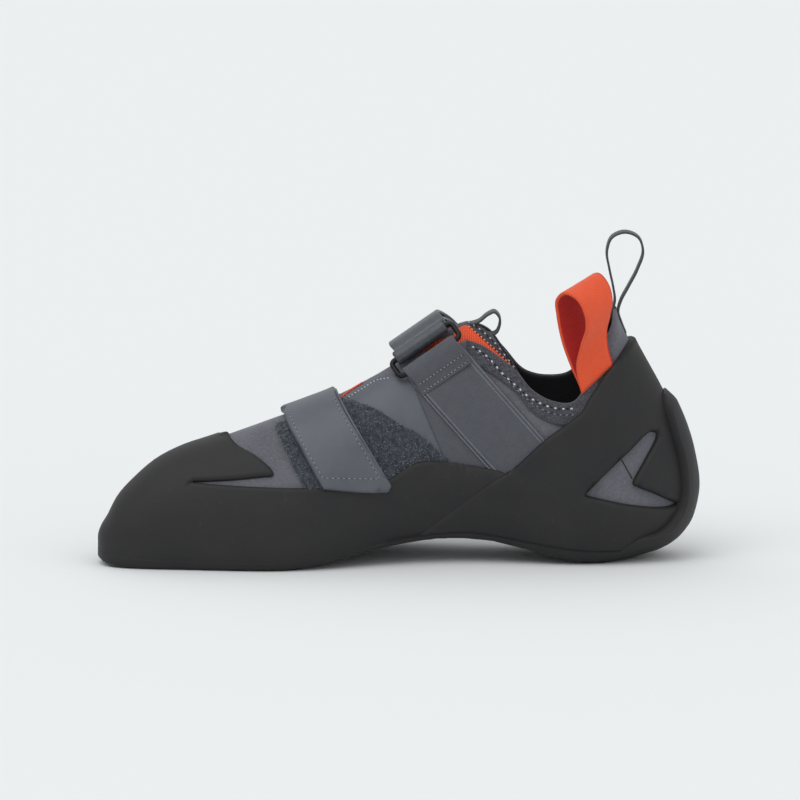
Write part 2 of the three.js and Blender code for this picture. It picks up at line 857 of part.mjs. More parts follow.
function strapLoop(clearance) {
  const over = (row) => overUpper(row.at, row.turn, row.lift * ringLift);
  const route = [...strapUnder.map(over), ...turnRound(-1, foldedStrap), ...strapOver.map(over)];
  return routeBand(route, strapWidth + 2 * clearance, foldedStrap + 2 * clearance);
}

const makeRearStrap = () => strapLoop(0).subtract(form(gap));

// Free loops

// A band swept between two edges
function edgedBand(lefts, rights, thickness) {
  const steps = 2 * (lefts.length - 1);
  const smooth = (points) => new THREE.CatmullRomCurve3(points).getPoints(steps);
  const [left, right] = [smooth(lefts), smooth(rights)];
  const rings = left.map((point, i) => {
    const [a, b] = [Math.max(i - 1, 0), Math.min(i + 1, steps)];
    const run = left[b].clone().add(right[b]).sub(left[a]).sub(right[a]);
    const thick = run.cross(right[i].clone().sub(point)).normalize();
    const moved = (from, share) => from.clone().addScaledVector(thick, share * thickness);
    return [moved(point, -0.5), moved(right[i], -0.5), moved(right[i], 0.5), moved(point, 0.5)];
  });
  return solid(skin(rings, true));
}

function makePullTab() {
  const turn = turnAtHeight(tabPlace.at, up(tabPlace.up));
  const anchor = surfacePoint(tabPlace.at, turn);
  const edge = (side) => tabRoute.map((row) => {
    const share = new THREE.Vector3(row[side + "Along"], row[side + "Across"], row[side + "Up"]);
    return share.multiplyScalar(tabHeight).add(anchor);
  });
  return edgedBand(edge("front"), edge("back"), tabThickness)
    .subtract(wallZone())
    .subtract(layer(0, gap + heelRubber + gap).intersect(heelRegion(gap)));
}

// A loop in the middle plane, from its place on the shoe
function flatLoop(route, from, height, width) {
  const edge = (side) => route.map((row) => {
    const share = new THREE.Vector3(row.along * height, (side * width) / 2, row.up * height);
    return share.add(new THREE.Vector3(along(from.at), 0, up(from.up)));
  });
  return edgedBand(edge(-1), edge(1), loopThickness);
}

const makeBackLoop = () => flatLoop(backRoute, heelTop, loopHeight, loopWidth).subtract(wallZone());

const makeTongueLoop = () =>
  flatLoop(tongueRoute, tongueEnd, tongueLoopHeight, tongueLoopWidth).subtract(tongueForm(gap));

// The shoe

const shoe = new THREE.Group();

function place(name, material, made) {
  const { vertProperties, triVerts } = made.getMesh();
  const geometry = new THREE.BufferGeometry();
  geometry.setAttribute("position", new THREE.BufferAttribute(vertProperties, 3));
  geometry.setIndex(new THREE.BufferAttribute(triVerts, 1));
  const mesh = new THREE.Mesh(geometry, new THREE.MeshStandardMaterial(material));
  mesh.name = name;
  shoe.add(mesh);
}

place("upper", named.suede, makeUpper());
place("outsole", named.rubber, makeOutsole());
place("toe_rand", named.rubber, makeToeRand());
place("heel_rand", named.rubber, makeHeelRand());
place("insole", named.board, makeInsole());
place("tongue", named.knit, tongueForm(0));
place("throat_lining", named.lining, makeThroatLining());
place("collar_band_inner", named.knit, makeCollarBand(collarInner, innerSide));
place("collar_band_outer", named.knit, makeCollarBand(collarOuter, outerSide));
place("webbing_band", named.weave, makeWebbingBand());
place("under_band", named.weave, makeUnderBand());
place("loop_patch", named.fuzz, makeLoopPatch());
place("front_strap", named.smooth, makeFrontStrap());
place("rear_strap", named.smooth, makeRearStrap());
place("strap_ring", named.plastic, makeRing());
place("heel_pull_tab", named.lining, makePullTab());
place("back_pull_loop", named.plastic, makeBackLoop());
place("tongue_loop", named.plastic, makeTongueLoop());

export default shoe;
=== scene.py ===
"""A right climbing shoe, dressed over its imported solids. Tables and sizes are in millimetres."""
import math

import bmesh
import bpy
import numpy as np
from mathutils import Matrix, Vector
from mathutils.geometry import delaunay_2d_cdt
from mathutils.kdtree import KDTree


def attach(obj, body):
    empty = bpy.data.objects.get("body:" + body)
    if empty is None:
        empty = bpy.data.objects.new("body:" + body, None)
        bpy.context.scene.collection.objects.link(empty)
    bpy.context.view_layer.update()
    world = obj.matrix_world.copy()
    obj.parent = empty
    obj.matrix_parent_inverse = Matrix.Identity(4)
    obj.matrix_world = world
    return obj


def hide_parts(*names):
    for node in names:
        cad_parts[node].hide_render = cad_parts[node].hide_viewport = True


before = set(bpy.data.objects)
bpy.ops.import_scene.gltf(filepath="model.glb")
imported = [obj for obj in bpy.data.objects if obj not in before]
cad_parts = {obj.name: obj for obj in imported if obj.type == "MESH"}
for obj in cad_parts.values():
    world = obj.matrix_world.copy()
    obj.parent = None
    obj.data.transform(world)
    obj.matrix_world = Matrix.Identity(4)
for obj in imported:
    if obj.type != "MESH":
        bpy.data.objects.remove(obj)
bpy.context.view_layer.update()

MM = 0.001

# Light and camera: each sun's azimuth, elevation, strength and softness, then metres and degrees
SUNS = [("key", -35, 58, 0.95, 50), ("fill", 50, 35, 0.35, 70), ("back", 200, 45, 0.35, 60)]
SKY = 0.69
CAMERA_TARGET = (-0.0918, 0, 0.069)
CAMERA_RISE = 9
CAMERA_DISTANCE = 3.0
VIEW_WIDTH = 0.3496

# Thicknesses and lifts off the upper's outside
GAP = 0.3
WALL = 2.0
TOE_RUBBER = 2.1
HEEL_RUBBER = 2.9
SOLE_SIDE = 3.3
SOLE_HEEL = 5.6
STRAP = 2.0
WEBBING = 1.2
FOLDED_STRAP = 1.6
STRAP_WIDTH = 26.0
RING_LENGTH = 34.0
RING_HEIGHT = 11.5
RING_ROD = 2.4
RING_CORNER = 2.2
RING_LIFT = 3.9
KNIT = 1.3

# Sections of the shoe's outside, from the tip of the toe to the back of the heel:
# place along the shoe, hidden hem, top, big-toe side, little-toe side, ridge, widest height,
# squareness below and above the widest height
SECTIONS = np.array([
    [-221.4, -3.0, 11.5, -17.0, -17.0, -17.0, 11.1, 3.6, 2.0],
    [-220.2, -3.5, 15.6, -23.0, -9.5, -17.0, 11.1, 4.2, 2.0],
    [-217.5, -3.5, 20.0, -27.2, -2.5, -16.5, 11.6, 4.5, 2.0],
    [-213.0, -3.5, 28.5, -30.5, 4.5, -16.0, 13.6, 4.5, 1.9],
    [-206.0, -3.5, 36.0, -33.0, 12.0, -15.0, 15.1, 4.5, 1.9],
    [-197.0, -3.5, 43.5, -34.8, 19.5, -14.0, 16.4, 4.5, 1.9],
    [-186.0, -3.5, 49.0, -36.4, 27.0, -13.0, 17.2, 4.5, 1.9],
    [-174.0, -3.5, 52.8, -38.2, 34.0, -12.0, 17.8, 4.5, 1.9],
    [-160.0, -3.5, 57.5, -40.2, 40.0, -11.0, 18.5, 4.5, 1.9],
    [-146.0, -3.5, 62.5, -41.0, 44.5, -10.0, 19.8, 4.5, 1.85],
    [-132.0, -2.5, 67.5, -39.6, 46.5, -9.0, 22.9, 4.3, 1.8],
    [-118.0, 0.5, 73.0, -36.4, 46.8, -6.0, 27.0, 4.0, 1.8],
    [-104.0, 3.5, 81.6, -32.0, 44.5, -4.0, 33.0, 3.6, 1.85],
    [-90.0, 5.5, 91.2, -28.0, 41.0, -2.0, 39.2, 3.4, 1.9],
    [-76.0, 6.5, 101.0, -25.2, 37.0, 0.0, 45.2, 3.4, 2.0],
    [-64.0, 6.5, 107.0, -24.2, 34.0, 1.0, 48.2, 3.4, 2.0],
    [-52.0, 5.5, 107.5, -24.4, 31.5, 1.0, 46.8, 3.4, 2.0],
    [-40.0, 3.5, 106.5, -25.4, 29.8, 1.0, 42.7, 3.4, 2.0],
    [-28.0, 1.5, 105.5, -26.8, 29.0, 0.5, 39.1, 3.5, 2.0],
    [-16.0, 0.0, 106.0, -28.0, 28.6, 0.0, 36.2, 3.5, 2.0],
    [-6.0, 0.2, 109.5, -28.2, 28.4, 0.0, 36.4, 3.3, 2.0],
    [1.0, 1.4, 111.5, -27.8, 28.0, 0.0, 36.8, 3.1, 2.0],
    [5.0, 2.4, 103.0, -27.3, 27.5, 0.0, 35.2, 2.9, 2.0],
    [9.0, 3.8, 93.8, -26.4, 26.6, 0.0, 33.6, 2.7, 2.0],
    [14.0, 6.0, 84.6, -24.6, 24.8, 0.0, 32.3, 2.5, 2.0],
    [19.0, 8.4, 75.5, -21.8, 22.0, 0.0, 31.3, 2.4, 2.0],
    [24.0, 11.8, 65.5, -17.8, 18.0, 0.0, 31.1, 2.3, 2.0],
    [28.0, 15.8, 56.0, -13.4, 13.6, 0.0, 31.9, 2.2, 2.0],
    [31.0, 21.0, 45.5, -8.2, 8.4, 0.0, 32.0, 2.0, 2.0],
    [33.0, 32.0, 32.0, 0.0, 0.0, 0.0, 32.0, 2.0, 2.0],
])
LAST = len(SECTIONS) - 1

# Underside of the sole along the shoe, and the line where its edge ends on the side
UNDERSIDE = [(-226, 5.4), (-224, 3.9), (-221, 2.3), (-217, 1.1), (-208, 0.35), (-196, 0), (-140, 0),
             (-132, 1), (-118, 3.7), (-104, 6.8), (-90, 9.3), (-76, 11.1), (-64, 11.1), (-52, 10.1),
             (-40, 7.3), (-28, 3.9), (-17, 1), (-8, 0), (12, 0), (40, 0)]
SOLE_LINE = [(-226, 9.2), (-221, 7.2), (-214, 5.6), (-200, 4.6), (-170, 4.1), (-145, 4.6), (-125, 6.6),
             (-109, 9.6), (-98, 11.8), (-86, 13.4), (-70, 14.6), (-60, 14.6), (-48, 13),
             (-35, 10.6), (-22, 8.4), (-10, 7.2), (2, 7.2), (12, 9), (22, 11.6), (44, 14)]

# Outlines seen from the side: along, up, and 1 at a corner
COLLAR_INNER = [(-63, 97.6, 1), (-54.6, 94.6), (-42, 85.5), (-35, 77.5), (-27, 72.8), (-18.5, 71.6),
                (-13.5, 75.5), (-9, 85), (-3, 98.5), (0.5, 105.5), (2.0, 112, 1)]
COLLAR_OUTER = [(-63, 101, 1), (-54, 97.5), (-46, 89), (-39, 80.5), (-33, 77.4), (-26, 76.6),
                (-19, 77.6), (-14, 81.5), (-9, 88), (-3, 98.5), (0.5, 105.5), (2.0, 112, 1)]
TOE_EDGE_INNER = [(-171, 60, 1), (-163, 53.2), (-155, 49.6), (-149.5, 46), (-146.6, 43), (-147, 41.1),
                  (-151.5, 40.6), (-166, 38.9), (-182, 37.7, 1), (-170, 37.2), (-153.4, 36.8),
                  (-131, 36.4), (-112, 37), (-98, 38.8), (-90, 43.6), (-84, 46), (-75.6, 46.4),
                  (-57, 43.6), (-46, 41), (-34, 33, 1)]
TOE_EDGE_OUTER = [(-171, 60, 1), (-168, 51), (-162, 46), (-152, 40), (-138, 36.6), (-112, 37),
                  (-86.5, 41), (-66, 43), (-46, 41), (-34, 33, 1)]
HEEL_EDGE = [(-97, 5, 1), (-92, 9), (-82, 16.2), (-71.7, 23.2), (-60, 31.6), (-50, 38.6), (-42, 43.6),
             (-36.7, 48.4), (-28.4, 56), (-18.5, 63.2), (-13.2, 67.6), (-9.5, 73.6), (0.4, 88),
             (7.7, 96.4), (12, 98, 1)]
HEEL_WINDOW = [(-11.5, 31.8, 1), (-1, 42.5), (8, 51), (15, 57.4), (18.4, 57.6), (19.2, 55.4), (13.8, 46),
               (9, 37), (12, 34.4), (19, 31), (28.4, 25.5, 1), (22, 25.1), (6, 27.7)]
LOOP_PATCH = [(-147, 61, 1), (-140, 62.5), (-128, 67), (-116, 71.6), (-105, 69.5), (-97, 65.7),
              (-90.5, 61.5), (-84.3, 58.8), (-76, 51.8), (-66, 42, 1), (-96, 34, 1), (-132, 34, 1)]
BAND = [(-88.7, 82, 1), (-65.5, 96, 1), (-20, 46.5, 1), (-47, 36.5, 1)]
UNDER_BAND = [(-85.5, 76.5, 1), (-75, 82, 1), (-46, 37, 1), (-68.5, 37, 1)]
STRAP_INNER = [(-143, 90, 1), (-142.2, 66), (-134, 50.5), (-125.4, 35.4, 1), (-112, 34), (-100, 33.4),
               (-97.2, 34.2), (-96.3, 36.6), (-98.8, 41), (-109, 57.5), (-120, 76), (-120, 90, 1)]
STRAP_STITCH = [(-140.2, 65.2), (-132.3, 50.8), (-125.6, 39.9, 1), (-101.6, 39.6, 1), (-111.2, 56.2),
                (-119.4, 69.8)]
STRAP_EDGE = [(-118.2, 72), (-108.6, 56), (-99.6, 40.5)]
STRAP_OUTER = [(-143, 90, 1), (-142, 62), (-134, 30, 1), (-110, 30, 1), (-118, 66), (-120, 90, 1)]

QUARTER = [(-121, 60, 1), (-120.5, 68), (-116, 71.8), (-109, 76.4), (-102.6, 80.4), (-96, 82.2),
           (-86, 82, 1), (-60, 45, 1), (-80, 40, 1)]
QUARTER_STITCH = [(-118.5, 69.6), (-109, 75.2), (-102.4, 79.2), (-96.5, 80.8)]
BINDING = [(-118.6, 71), (-113.5, 74.6), (-108, 78)]
GUSSET = [(-71, 96, 1), (-69, 101.5), (-65.5, 104.4), (-61.5, 104.2), (-55.5, 98.6), (-48.5, 92.3),
          (-43, 87, 1), (-52, 88, 1), (-63, 93, 1)]
GUSSET_STITCH = [(-62.5, 104.4), (-55.8, 99), (-48.8, 92.6), (-43.5, 87.4)]
TONGUE_STITCH = [(-63, 107), (-57, 103.4), (-51, 98), (-45, 90.6), (-41, 85)]
COLLAR_STITCH = [(-61.5, 95), (-54, 90.4), (-47.5, 83.6), (-41, 78), (-34, 72.6), (-24.9, 69.2), (-15.5, 69)]
COLLAR_STITCH_LOW = [(-59, 92.6), (-52, 88), (-46, 81.6), (-40, 75.8), (-33, 70.2), (-24.5, 66.6),
                     (-15, 66.4)]
COLLAR_SEAM = [(-58, 88), (-50, 83.4), (-44.6, 78.2), (-38, 72), (-31, 67), (-23, 63.8), (-14.5, 62.6)]
WINDOW_SEAM = [(4.3, 47), (8.9, 38.6)]
BAND_EDGES = [[(-88.2, 81.4), (-46.6, 36)], [(-86.9, 82.2), (-45.3, 36.8)],
              [(-66.2, 95.4), (-20.6, 46)], [(-67.6, 94.6), (-22, 45.2)]]

COLLAR_BAND_INNER = [*COLLAR_INNER[:8], (-5, 80, 1), (-7, 66, 1), (-18.5, 61.6), (-27, 62.8), (-35, 67.5),
                     (-42, 75.5), (-54.6, 84.6), (-63, 87.6, 1)]
COLLAR_BAND_OUTER = [*COLLAR_OUTER[:9], (-5, 82, 1), (-8, 69, 1), (-19, 67.4), (-26, 66.6), (-33, 67.4),
                     (-39, 70.5), (-46, 79), (-54, 87.5), (-63, 91, 1)]

# Outlines seen from above: along, across, and 1 at a corner
THROAT_INNER = [(-119.5, 0, 1), (-118.3, -4), (-115.5, -6.4), (-100, -8.4), (-80, -11), (-66, -13.2, 1)]
THROAT_OUTER = [(-119.5, 0, 1), (-118, 7), (-114, 11), (-100, 14.5), (-80, 17), (-66, 17.6, 1)]

# How far the sole stands out from the upper, along the shoe: level with the toe's rubber in front
SOLE_OUT = [(-130, 2.2), (-96, 2.6), (-60, SOLE_SIDE)]
# Half the width of its wrap up the heel, by height
WRAP_HALF = [(-8, 22.5), (5, 21.5), (8, 19.5), (11, 17), (15, 15), (22, 12.8), (30, 12), (46, 12), (56, 12),
             (64, 11), (70, 8.6), (73.5, 4.5), (75, 1)]

# The point in the heel that the wrap's lines turn round, their first and last angle, the angle from
# which the wrap has its own width, and the height at which it ends
PIVOT = np.array([2.0, 0, 34.0])
WRAP_FIRST, WRAP_LAST, WRAP_FREE = -88, 64, -60
WRAP_TOP = 75
ACROSS = 45
# Share of the full lift and height over the edge, for the rows that round the sole's edge
ROUND_EDGE = [(0.2, 0.9), (0.72, 0.75), (0.93, 0.35)]
# Within this height of the underside the sole bends over into it, and is flat when this close
BEND, FLAT = 1.2, 0.25

# The rear strap's two legs, from the far side and back to it: along, turn and lift
STRAP_UNDER = [(-60, -0.245, 1.4), (-64, -0.21, 1.4), (-68.5, -0.17, 1.4), (-73, -0.13, 1.4),
               (-77.5, -0.09, 1.4), (-81, -0.05, 1.5), (-82.5, -0.015, 1.56), (-82.3, 0.02, 1.6),
               (-81, 0.055, 1.6)]
STRAP_TOP = [(-81, 0.055, 6.1), (-82.3, 0.02, 5.85), (-82.5, -0.015, 5.5), (-81, -0.05, 4.8),
             (-77.5, -0.09, 4.1), (-73, -0.13, 3.6), (-69.5, -0.16, 3.4)]

# The two legs of the webbing's fold: along, and down and lift in the ring's heights and lifts
FOLD_UNDER = [(-72, 1.15, 0.23), (-74, 0.85, 0.25)]
FOLD_TOP = [(-74.4, 0.8, 1.3), (-73.4, 0.95, 0.98), (-72.4, 1.1, 0.68), (-71.4, 1.25, 0.5)]
HEM_POINTS = 40

# The loops' routes: the pull tab's two edges from its anchor, and the tapes along and up
TAB_FRONT = [(0.3, -1.2, -0.6), (-2, -2.9, 11.8), (-0.3, -5.9, 20.7), (2, -9.9, 30), (1.3, -11.4, 35.5),
             (-1.4, -10.9, 41.2), (-7.5, -5.9, 44), (-11, -0.9, 39.6), (-10.5, 1.1, 34), (-8.1, 3.1, 21.6),
             (-3.6, 3.1, 9), (0, 2.9, 0.6), (1.5, 2.5, -6)]
TAB_BACK = [(14.1, 1.6, 12), (11.8, 1.4, 20.6), (11.3, 0.6, 27.4), (12.6, 0, 34.3), (13.5, 0, 41),
            (11.8, 1.6, 47.4), (8.3, 5, 51.2), (4.8, 10, 49), (3.5, 12.5, 42), (5, 12, 30), (9.5, 9, 19),
            (12.5, 5.8, 12.5), (14.5, 5, 8)]
BACK_LOOP = [(4.3, -11), (2.6, -6.8), (1.1, -1.2), (2.2, 3), (5.3, 9), (9.6, 17.5), (11.8, 25),
             (9.8, 30.8), (3.8, 33.2), (-1.9, 30.8), (-3.9, 25.2), (-2.8, 17), (-1.1, 9), (-0.4, 3),
             (-1, 0), (-0.9, -3.4), (-0.3, -7), (0.2, -10)]
TONGUE_LOOP = [(-9, -1.2), (-5.4, 0), (-1.6, 3), (1.4, 4.2), (3.4, 2.2), (3.6, -1.8), (2, -5), (-1.5, -5.8),
               (-5, -5.6)]
TAPE = 1.0

# The footbed's height over the sole's underside, how far its sides rise, and its share of the width
FOOTBED, CUP, FOOTBED_SHARE = 10.2, 3, 0.93

# Fibre loops: share of the half length, height and thread radius at each point of one
PILE_SEED = 7
PILE_TRIES = 5200
PILE_SIDES = 3
PILE_HALF = 0.55
PILE_LOOP = [(-1, -0.1, 0.05), (-0.6, 0.32, 0.1), (0, 0.5, 0.11), (0.6, 0.32, 0.1), (1, -0.1, 0.05)]

# Step along cut edges, how far rubber runs in under the sole, how much of what lies under
# the rubber shows through it, and where the heel starts
EDGE_STEP = 0.9
TUCK = 1.5
COVERED_SHARE = 0.55
HEEL_START = -40

# Rounds of the halving search, and the turn under which a place counts as on the ridge
HALVINGS = 32
AT_RIDGE = 1e-6

# Steps along lines drawn from the side and between a band's points, and how far cast looks
SIDE_STEP = 0.8
BAND_STEPS = 5
CAST = 70

# A wave texture's bands are this much wider than its scale says, and the yarns' share in a weave
WAVE = 3.14
YARN_SHARE = 0.35


# The shoe's surface

def mirrored(a, b):
    """The row beyond an end row, so that the shoe closes round there."""
    row = 2 * a - b
    row[0] = b[0]
    row[7:] = b[7:]
    return row


PADDED = np.vstack([mirrored(SECTIONS[0], SECTIONS[1]), SECTIONS, mirrored(SECTIONS[-1], SECTIONS[-2])])


def between(a, b, c, d, t):
    """A point at a share of the way from b to c, on the smooth curve through all four."""
    return b + 0.5 * t * (c - a + t * (2 * a - 5 * b + 4 * c - d + t * (3 * (b - c) + d - a)))


def section(u):
    """The section at a row number, smooth between the table's rows."""
    u = np.clip(np.asarray(u, float), 0, LAST)
    i = np.minimum(u.astype(int), LAST - 1)
    t = (u - i)[..., None]
    return between(*(PADDED[i + k] for k in range(4)), t)


FINE_ROWS = np.linspace(0, LAST, 3000)
FINE_ALONG = np.maximum.accumulate(section(FINE_ROWS)[:, 0])


def row_at(x):
    return np.interp(x, FINE_ALONG, FINE_ROWS)


def base(u, turn):
    """Points of the outside. turn goes from 0 at the ridge, by the big-toe side, under the foot and back."""
    row = section(u)
    angle = np.asarray(turn) * 2 * math.pi
    sine, cosine = np.sin(angle), np.cos(angle)
    high = cosine >= 0
    side = np.where(sine >= 0, row[..., 3], row[..., 4])
    square = np.where(high, row[..., 8], row[..., 7])
    middle = np.where(high, row[..., 5], (row[..., 3] + row[..., 4]) / 2)
    end = np.where(high, row[..., 2], row[..., 1])
    outward = np.abs(sine) ** (2 / square)
    upward = np.abs(cosine) ** (2 / square)
    return np.stack([
        np.broadcast_to(row[..., 0], outward.shape),
        middle + (side - middle) * outward,
        row[..., 6] + (end - row[..., 6]) * upward,
    ], -1)


def unit(v):
    return v / np.maximum(np.linalg.norm(v, axis=-1, keepdims=True), 1e-9)


def slopes(u, turn):
    """How a point moves as the row and the turn grow."""
    du, dt = 0.02, 0.002
    low, high = np.clip(u - du, 0, LAST), np.clip(u + du, 0, LAST)
    lengthwise = (base(high, turn) - base(low, turn)) / (high - low)[..., None]
    crosswise = (base(u, turn + dt) - base(u, turn - dt)) / (2 * dt)
    return lengthwise, crosswise


def normal(u, turn):
    # At the two ends the skin shrinks to a line, so the direction is read just inside them
    inside = np.clip(u, 0.03, LAST - 0.03)
    lengthwise, crosswise = slopes(inside, turn)
    return unit(np.cross(crosswise, lengthwise))


def lifted(places, lift):
    """Points at a lift off the outside; places are rows of (row number, turn)."""
    u, turn = places[:, 0], places[:, 1]
    lift = np.broadcast_to(np.asarray(lift, float), u.shape)
    return base(u, turn) + normal(u, turn) * lift[:, None]


def halved(shape, low, high, further):
    """The largest value between low and high at which further still holds, found by halving."""
    low, high = np.full(shape, float(low)), np.full(shape, float(high))
    for _ in range(HALVINGS):
        middle = (low + high) / 2
        more = further(middle)
        low, high = np.where(more, middle, low), np.where(more, high, middle)
    return low


def from_side(points, side):
    """Places of points seen from the side; side is 1 for the big-toe side and -1 for the other."""
    u = row_at(points[:, 0])
    turn = halved(len(u), 0, 0.5, lambda middle: base(u, side * middle)[:, 2] > points[:, 1])
    return np.column_stack([u, side * np.where(turn < AT_RIDGE, 0, turn)])


def from_above(points):
    """Places of points seen from above."""
    u = row_at(points[:, 0])
    turn = halved(len(u), -0.25, 0.25, lambda middle: base(u, middle)[:, 1] > points[:, 1])
    return np.column_stack([u, turn])


def smooth(rows, step, closed=False):
    """A fine line through a table's rows, with its corners kept sharp."""
    points = np.array([row[:2] for row in rows], float)
    sharp = [len(row) > 2 for row in rows]
    if closed:
        start = sharp.index(True) if True in sharp else 0
        points = np.vstack([np.roll(points, -start, 0), points[start]])
        sharp = sharp[start:] + sharp[:start] + [True]
    count = len(points)
    line = []
    for i in range(count - 1):
        b, c = points[i], points[i + 1]
        a = 2 * b - c if sharp[i] or i == 0 else points[i - 1]
        d = 2 * c - b if sharp[i + 1] or i + 2 == count else points[i + 2]
        pieces = max(int(np.linalg.norm(c - b) / step), 1)
        for t in np.arange(pieces) / pieces:
            line.append(between(a, b, c, d, t))
    if not closed:
        line.append(points[-1])
    return np.array(line)


# Meshes

ROW_SCALE, TURN_SCALE = 9.0, 220.0
SCALE = np.array([ROW_SCALE, TURN_SCALE])
MATERIALS = {}


def build(name, points, faces, material, uv=None, back=None, back_faces=()):
    """A mesh object from points in millimetres; back is the material of the faces listed for it."""
    mesh = bpy.data.meshes.new(name)
    mesh.from_pydata((np.asarray(points) * MM).tolist(), [], faces)
    if uv is not None:
        layer = mesh.uv_layers.new(name="UVMap")
        index = np.empty(len(mesh.loops), int)
        mesh.loops.foreach_get("vertex_index", index)
        layer.data.foreach_set("uv", (np.asarray(uv)[index] * MM).astype(np.float32).ravel())
    mesh.update()
    mesh.shade_smooth()
    piece = bpy.data.objects.new(name, mesh)
    bpy.context.scene.collection.objects.link(piece)
    mesh.materials.append(MATERIALS[material])
    if back:
        mesh.materials.append(MATERIALS[back])
        for face in back_faces:
            mesh.polygons[face].material_index = 1
    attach(piece, "root")
    return piece


def net_faces(count, sides, closed=False, around=False):
    """Faces of a net of count rows of points.
    closed joins the two ends of each row, and around joins the last row to the first."""
    return [(i * sides + j, i * sides + (j + 1) % sides,
             (i + 1) % count * sides + (j + 1) % sides, (i + 1) % count * sides + j)
            for i in range(count if around else count - 1) for j in range(sides if closed else sides - 1)]


def inside_of(points, loops):
    """Which points lie inside the loops, by the even-odd rule."""
    found = np.zeros(len(points), bool)
    x, y = points[:, 0], points[:, 1]
    for loop in loops:
        ends = np.roll(loop, -1, 0)
        for (x1, y1), (x2, y2) in zip(loop, ends):
            if y1 == y2:
                continue
            crosses = (y1 > y) != (y2 > y)
            found ^= crosses & (x < x1 + (y - y1) * (x2 - x1) / (y2 - y1))
    return found


def nearest(points, lines, most):
    """Distance from each point to the lines' points, up to a most."""
    tree = KDTree(sum(len(line) for line in lines))
    number = 0
    for line in lines:
        for point in line:
            tree.insert(Vector(point), number)
            number += 1
    tree.balance()
    return np.array([min(tree.find(Vector(p))[2], most) for p in points])


def densely(points, step=0.4):
    """Points close together along a line in space."""
    line = [points[:1]]
    for a, b in zip(points[:-1], points[1:]):
        pieces = max(int(np.linalg.norm(b - a) / step), 1)
        share = (np.arange(1, pieces + 1) / pieces)[:, None]
        line.append(a + (b - a) * share)
    return np.vstack(line)


def trimmed(loops, rims, insets, spacing):
    """Places and triangles that fill the loops, with rows of points beside the rims, and each place's
    distance from the rims."""
    scaled = [loop * SCALE for loop in loops]
    flat = [np.column_stack([loop, np.zeros(len(loop))]) for loop in scaled]
    borders = [densely(np.vstack([loop, loop[:1]]), 0.8) for loop in flat]
    rim_points = [densely(base(rim[:, 0], rim[:, 1])) for rim in rims]

    def away(places, most):
        if not rims:
            return np.full(len(places), most)
        return nearest(base(places[:, 0], places[:, 1]), rim_points, most)

    beside = [np.zeros((0, 2))]
    for rim in rims:
        run = unit(np.gradient(base(rim[:, 0], rim[:, 1]), axis=0))
        across = np.cross(normal(rim[:, 0], rim[:, 1]), run)
        moves = np.einsum("nij,nj->ni", np.linalg.pinv(np.stack(slopes(rim[:, 0], rim[:, 1]), -1)), across)
        beside += [rim + sign * depth * moves for depth in insets for sign in (-1, 1)]
    beside = np.vstack(beside)
    beside = beside[(beside[:, 0] > 0.02) & (beside[:, 0] < LAST - 0.02)]
    beside = beside[inside_of(beside * SCALE, scaled)]
    if rims:
        depths = away(beside, 2 * insets[-1])
        beside = beside[np.min([np.abs(depths - depth) / depth for depth in insets], 0) < 0.1]
    corners = np.vstack(scaled)
    low, high = corners.min(0), corners.max(0)
    grid = np.stack(np.meshgrid(*(np.arange(a, b, spacing) for a, b in zip(low, high)), indexing="ij"), -1)
    grid[1::2, :, 1] += spacing / 2
    grid = grid.reshape(-1, 2)
    grid = grid[inside_of(grid, scaled)]
    grid = grid[nearest(np.column_stack([grid, np.zeros(len(grid))]), borders, spacing) > 0.5 * spacing]
    grid = grid / SCALE
    if rims:
        grid = grid[away(grid, insets[-1] + spacing) > insets[-1] + 0.5 * spacing]
    edges, start = [], 0
    for loop in loops:
        edges += [(start + i, start + (i + 1) % len(loop)) for i in range(len(loop))]
        start += len(loop)
    every = np.vstack([*loops, beside, grid]) * SCALE
    made, _, triangles, *_ = delaunay_2d_cdt([Vector(p) for p in every], edges, [], 0, 1e-6)
    made = np.array([tuple(p) for p in made])
    triangles = np.array(triangles)
    triangles = triangles[inside_of(made[triangles].mean(1), scaled)]
    used, triangles = np.unique(triangles, return_inverse=True)
    places = made[used] / SCALE
    distance = away(places, 40.0)
    distance[distance < 0.08] = 0
    return places, triangles.reshape(-1, 3), distance


def rounded(distance, radius):
    """Share of the full lift at a distance from a rounded edge."""
    return np.sqrt(np.clip(1 - (1 - np.clip(distance / radius, 0, 1)) ** 2, 0, 1))


def panel(name, material, loops, rims, low, high, radius, spacing, shape=None, under=None, back=None):
    """A piece on the outside of the shoe that lies between two lifts and rounds down at its rims.
    shape changes the lift by (points, distance); under is the lift of a back face and back its material."""
    insets = [0.12 * radius, 0.4 * radius, radius, radius + 0.8]
    places, triangles, distance = trimmed(loops, rims, insets, spacing)
    points = base(places[:, 0], places[:, 1])
    low_at = low(points) if callable(low) else np.full(len(points), float(low))
    high_at = high(points) if callable(high) else np.full(len(points), float(high))
    lift = low_at + (high_at - low_at) * rounded(distance, radius)
    if shape is not None:
        lift = lift + shape(points, distance)
    front = lifted(places, lift)
    uv = np.column_stack([section(places[:, 0])[:, 0], places[:, 1] * TURN_SCALE])
    a, b, c = (front[triangles[:, k]] for k in range(3))
    facing = np.cross(b - a, c - a)
    outward = normal(*places[triangles].mean(1).T)
    if np.sum(facing * outward) < 0:
        triangles = triangles[:, ::-1]
    faces = triangles.tolist()
    if under is None:
        return build(name, front, faces, material, uv)
    rear = lifted(places, low_at + (under - low_at) * rounded(distance, radius))
    number = np.where(distance > 0, np.arange(len(front)) + len(front), np.arange(len(front)))
    faces += number[triangles[:, ::-1]].tolist()
    vertices, uv = np.vstack([front, rear]), np.vstack([uv, uv])
    piece = build(name, vertices, faces, material, uv, back, range(len(triangles), len(faces)))
    drop_loose(piece)
    return piece


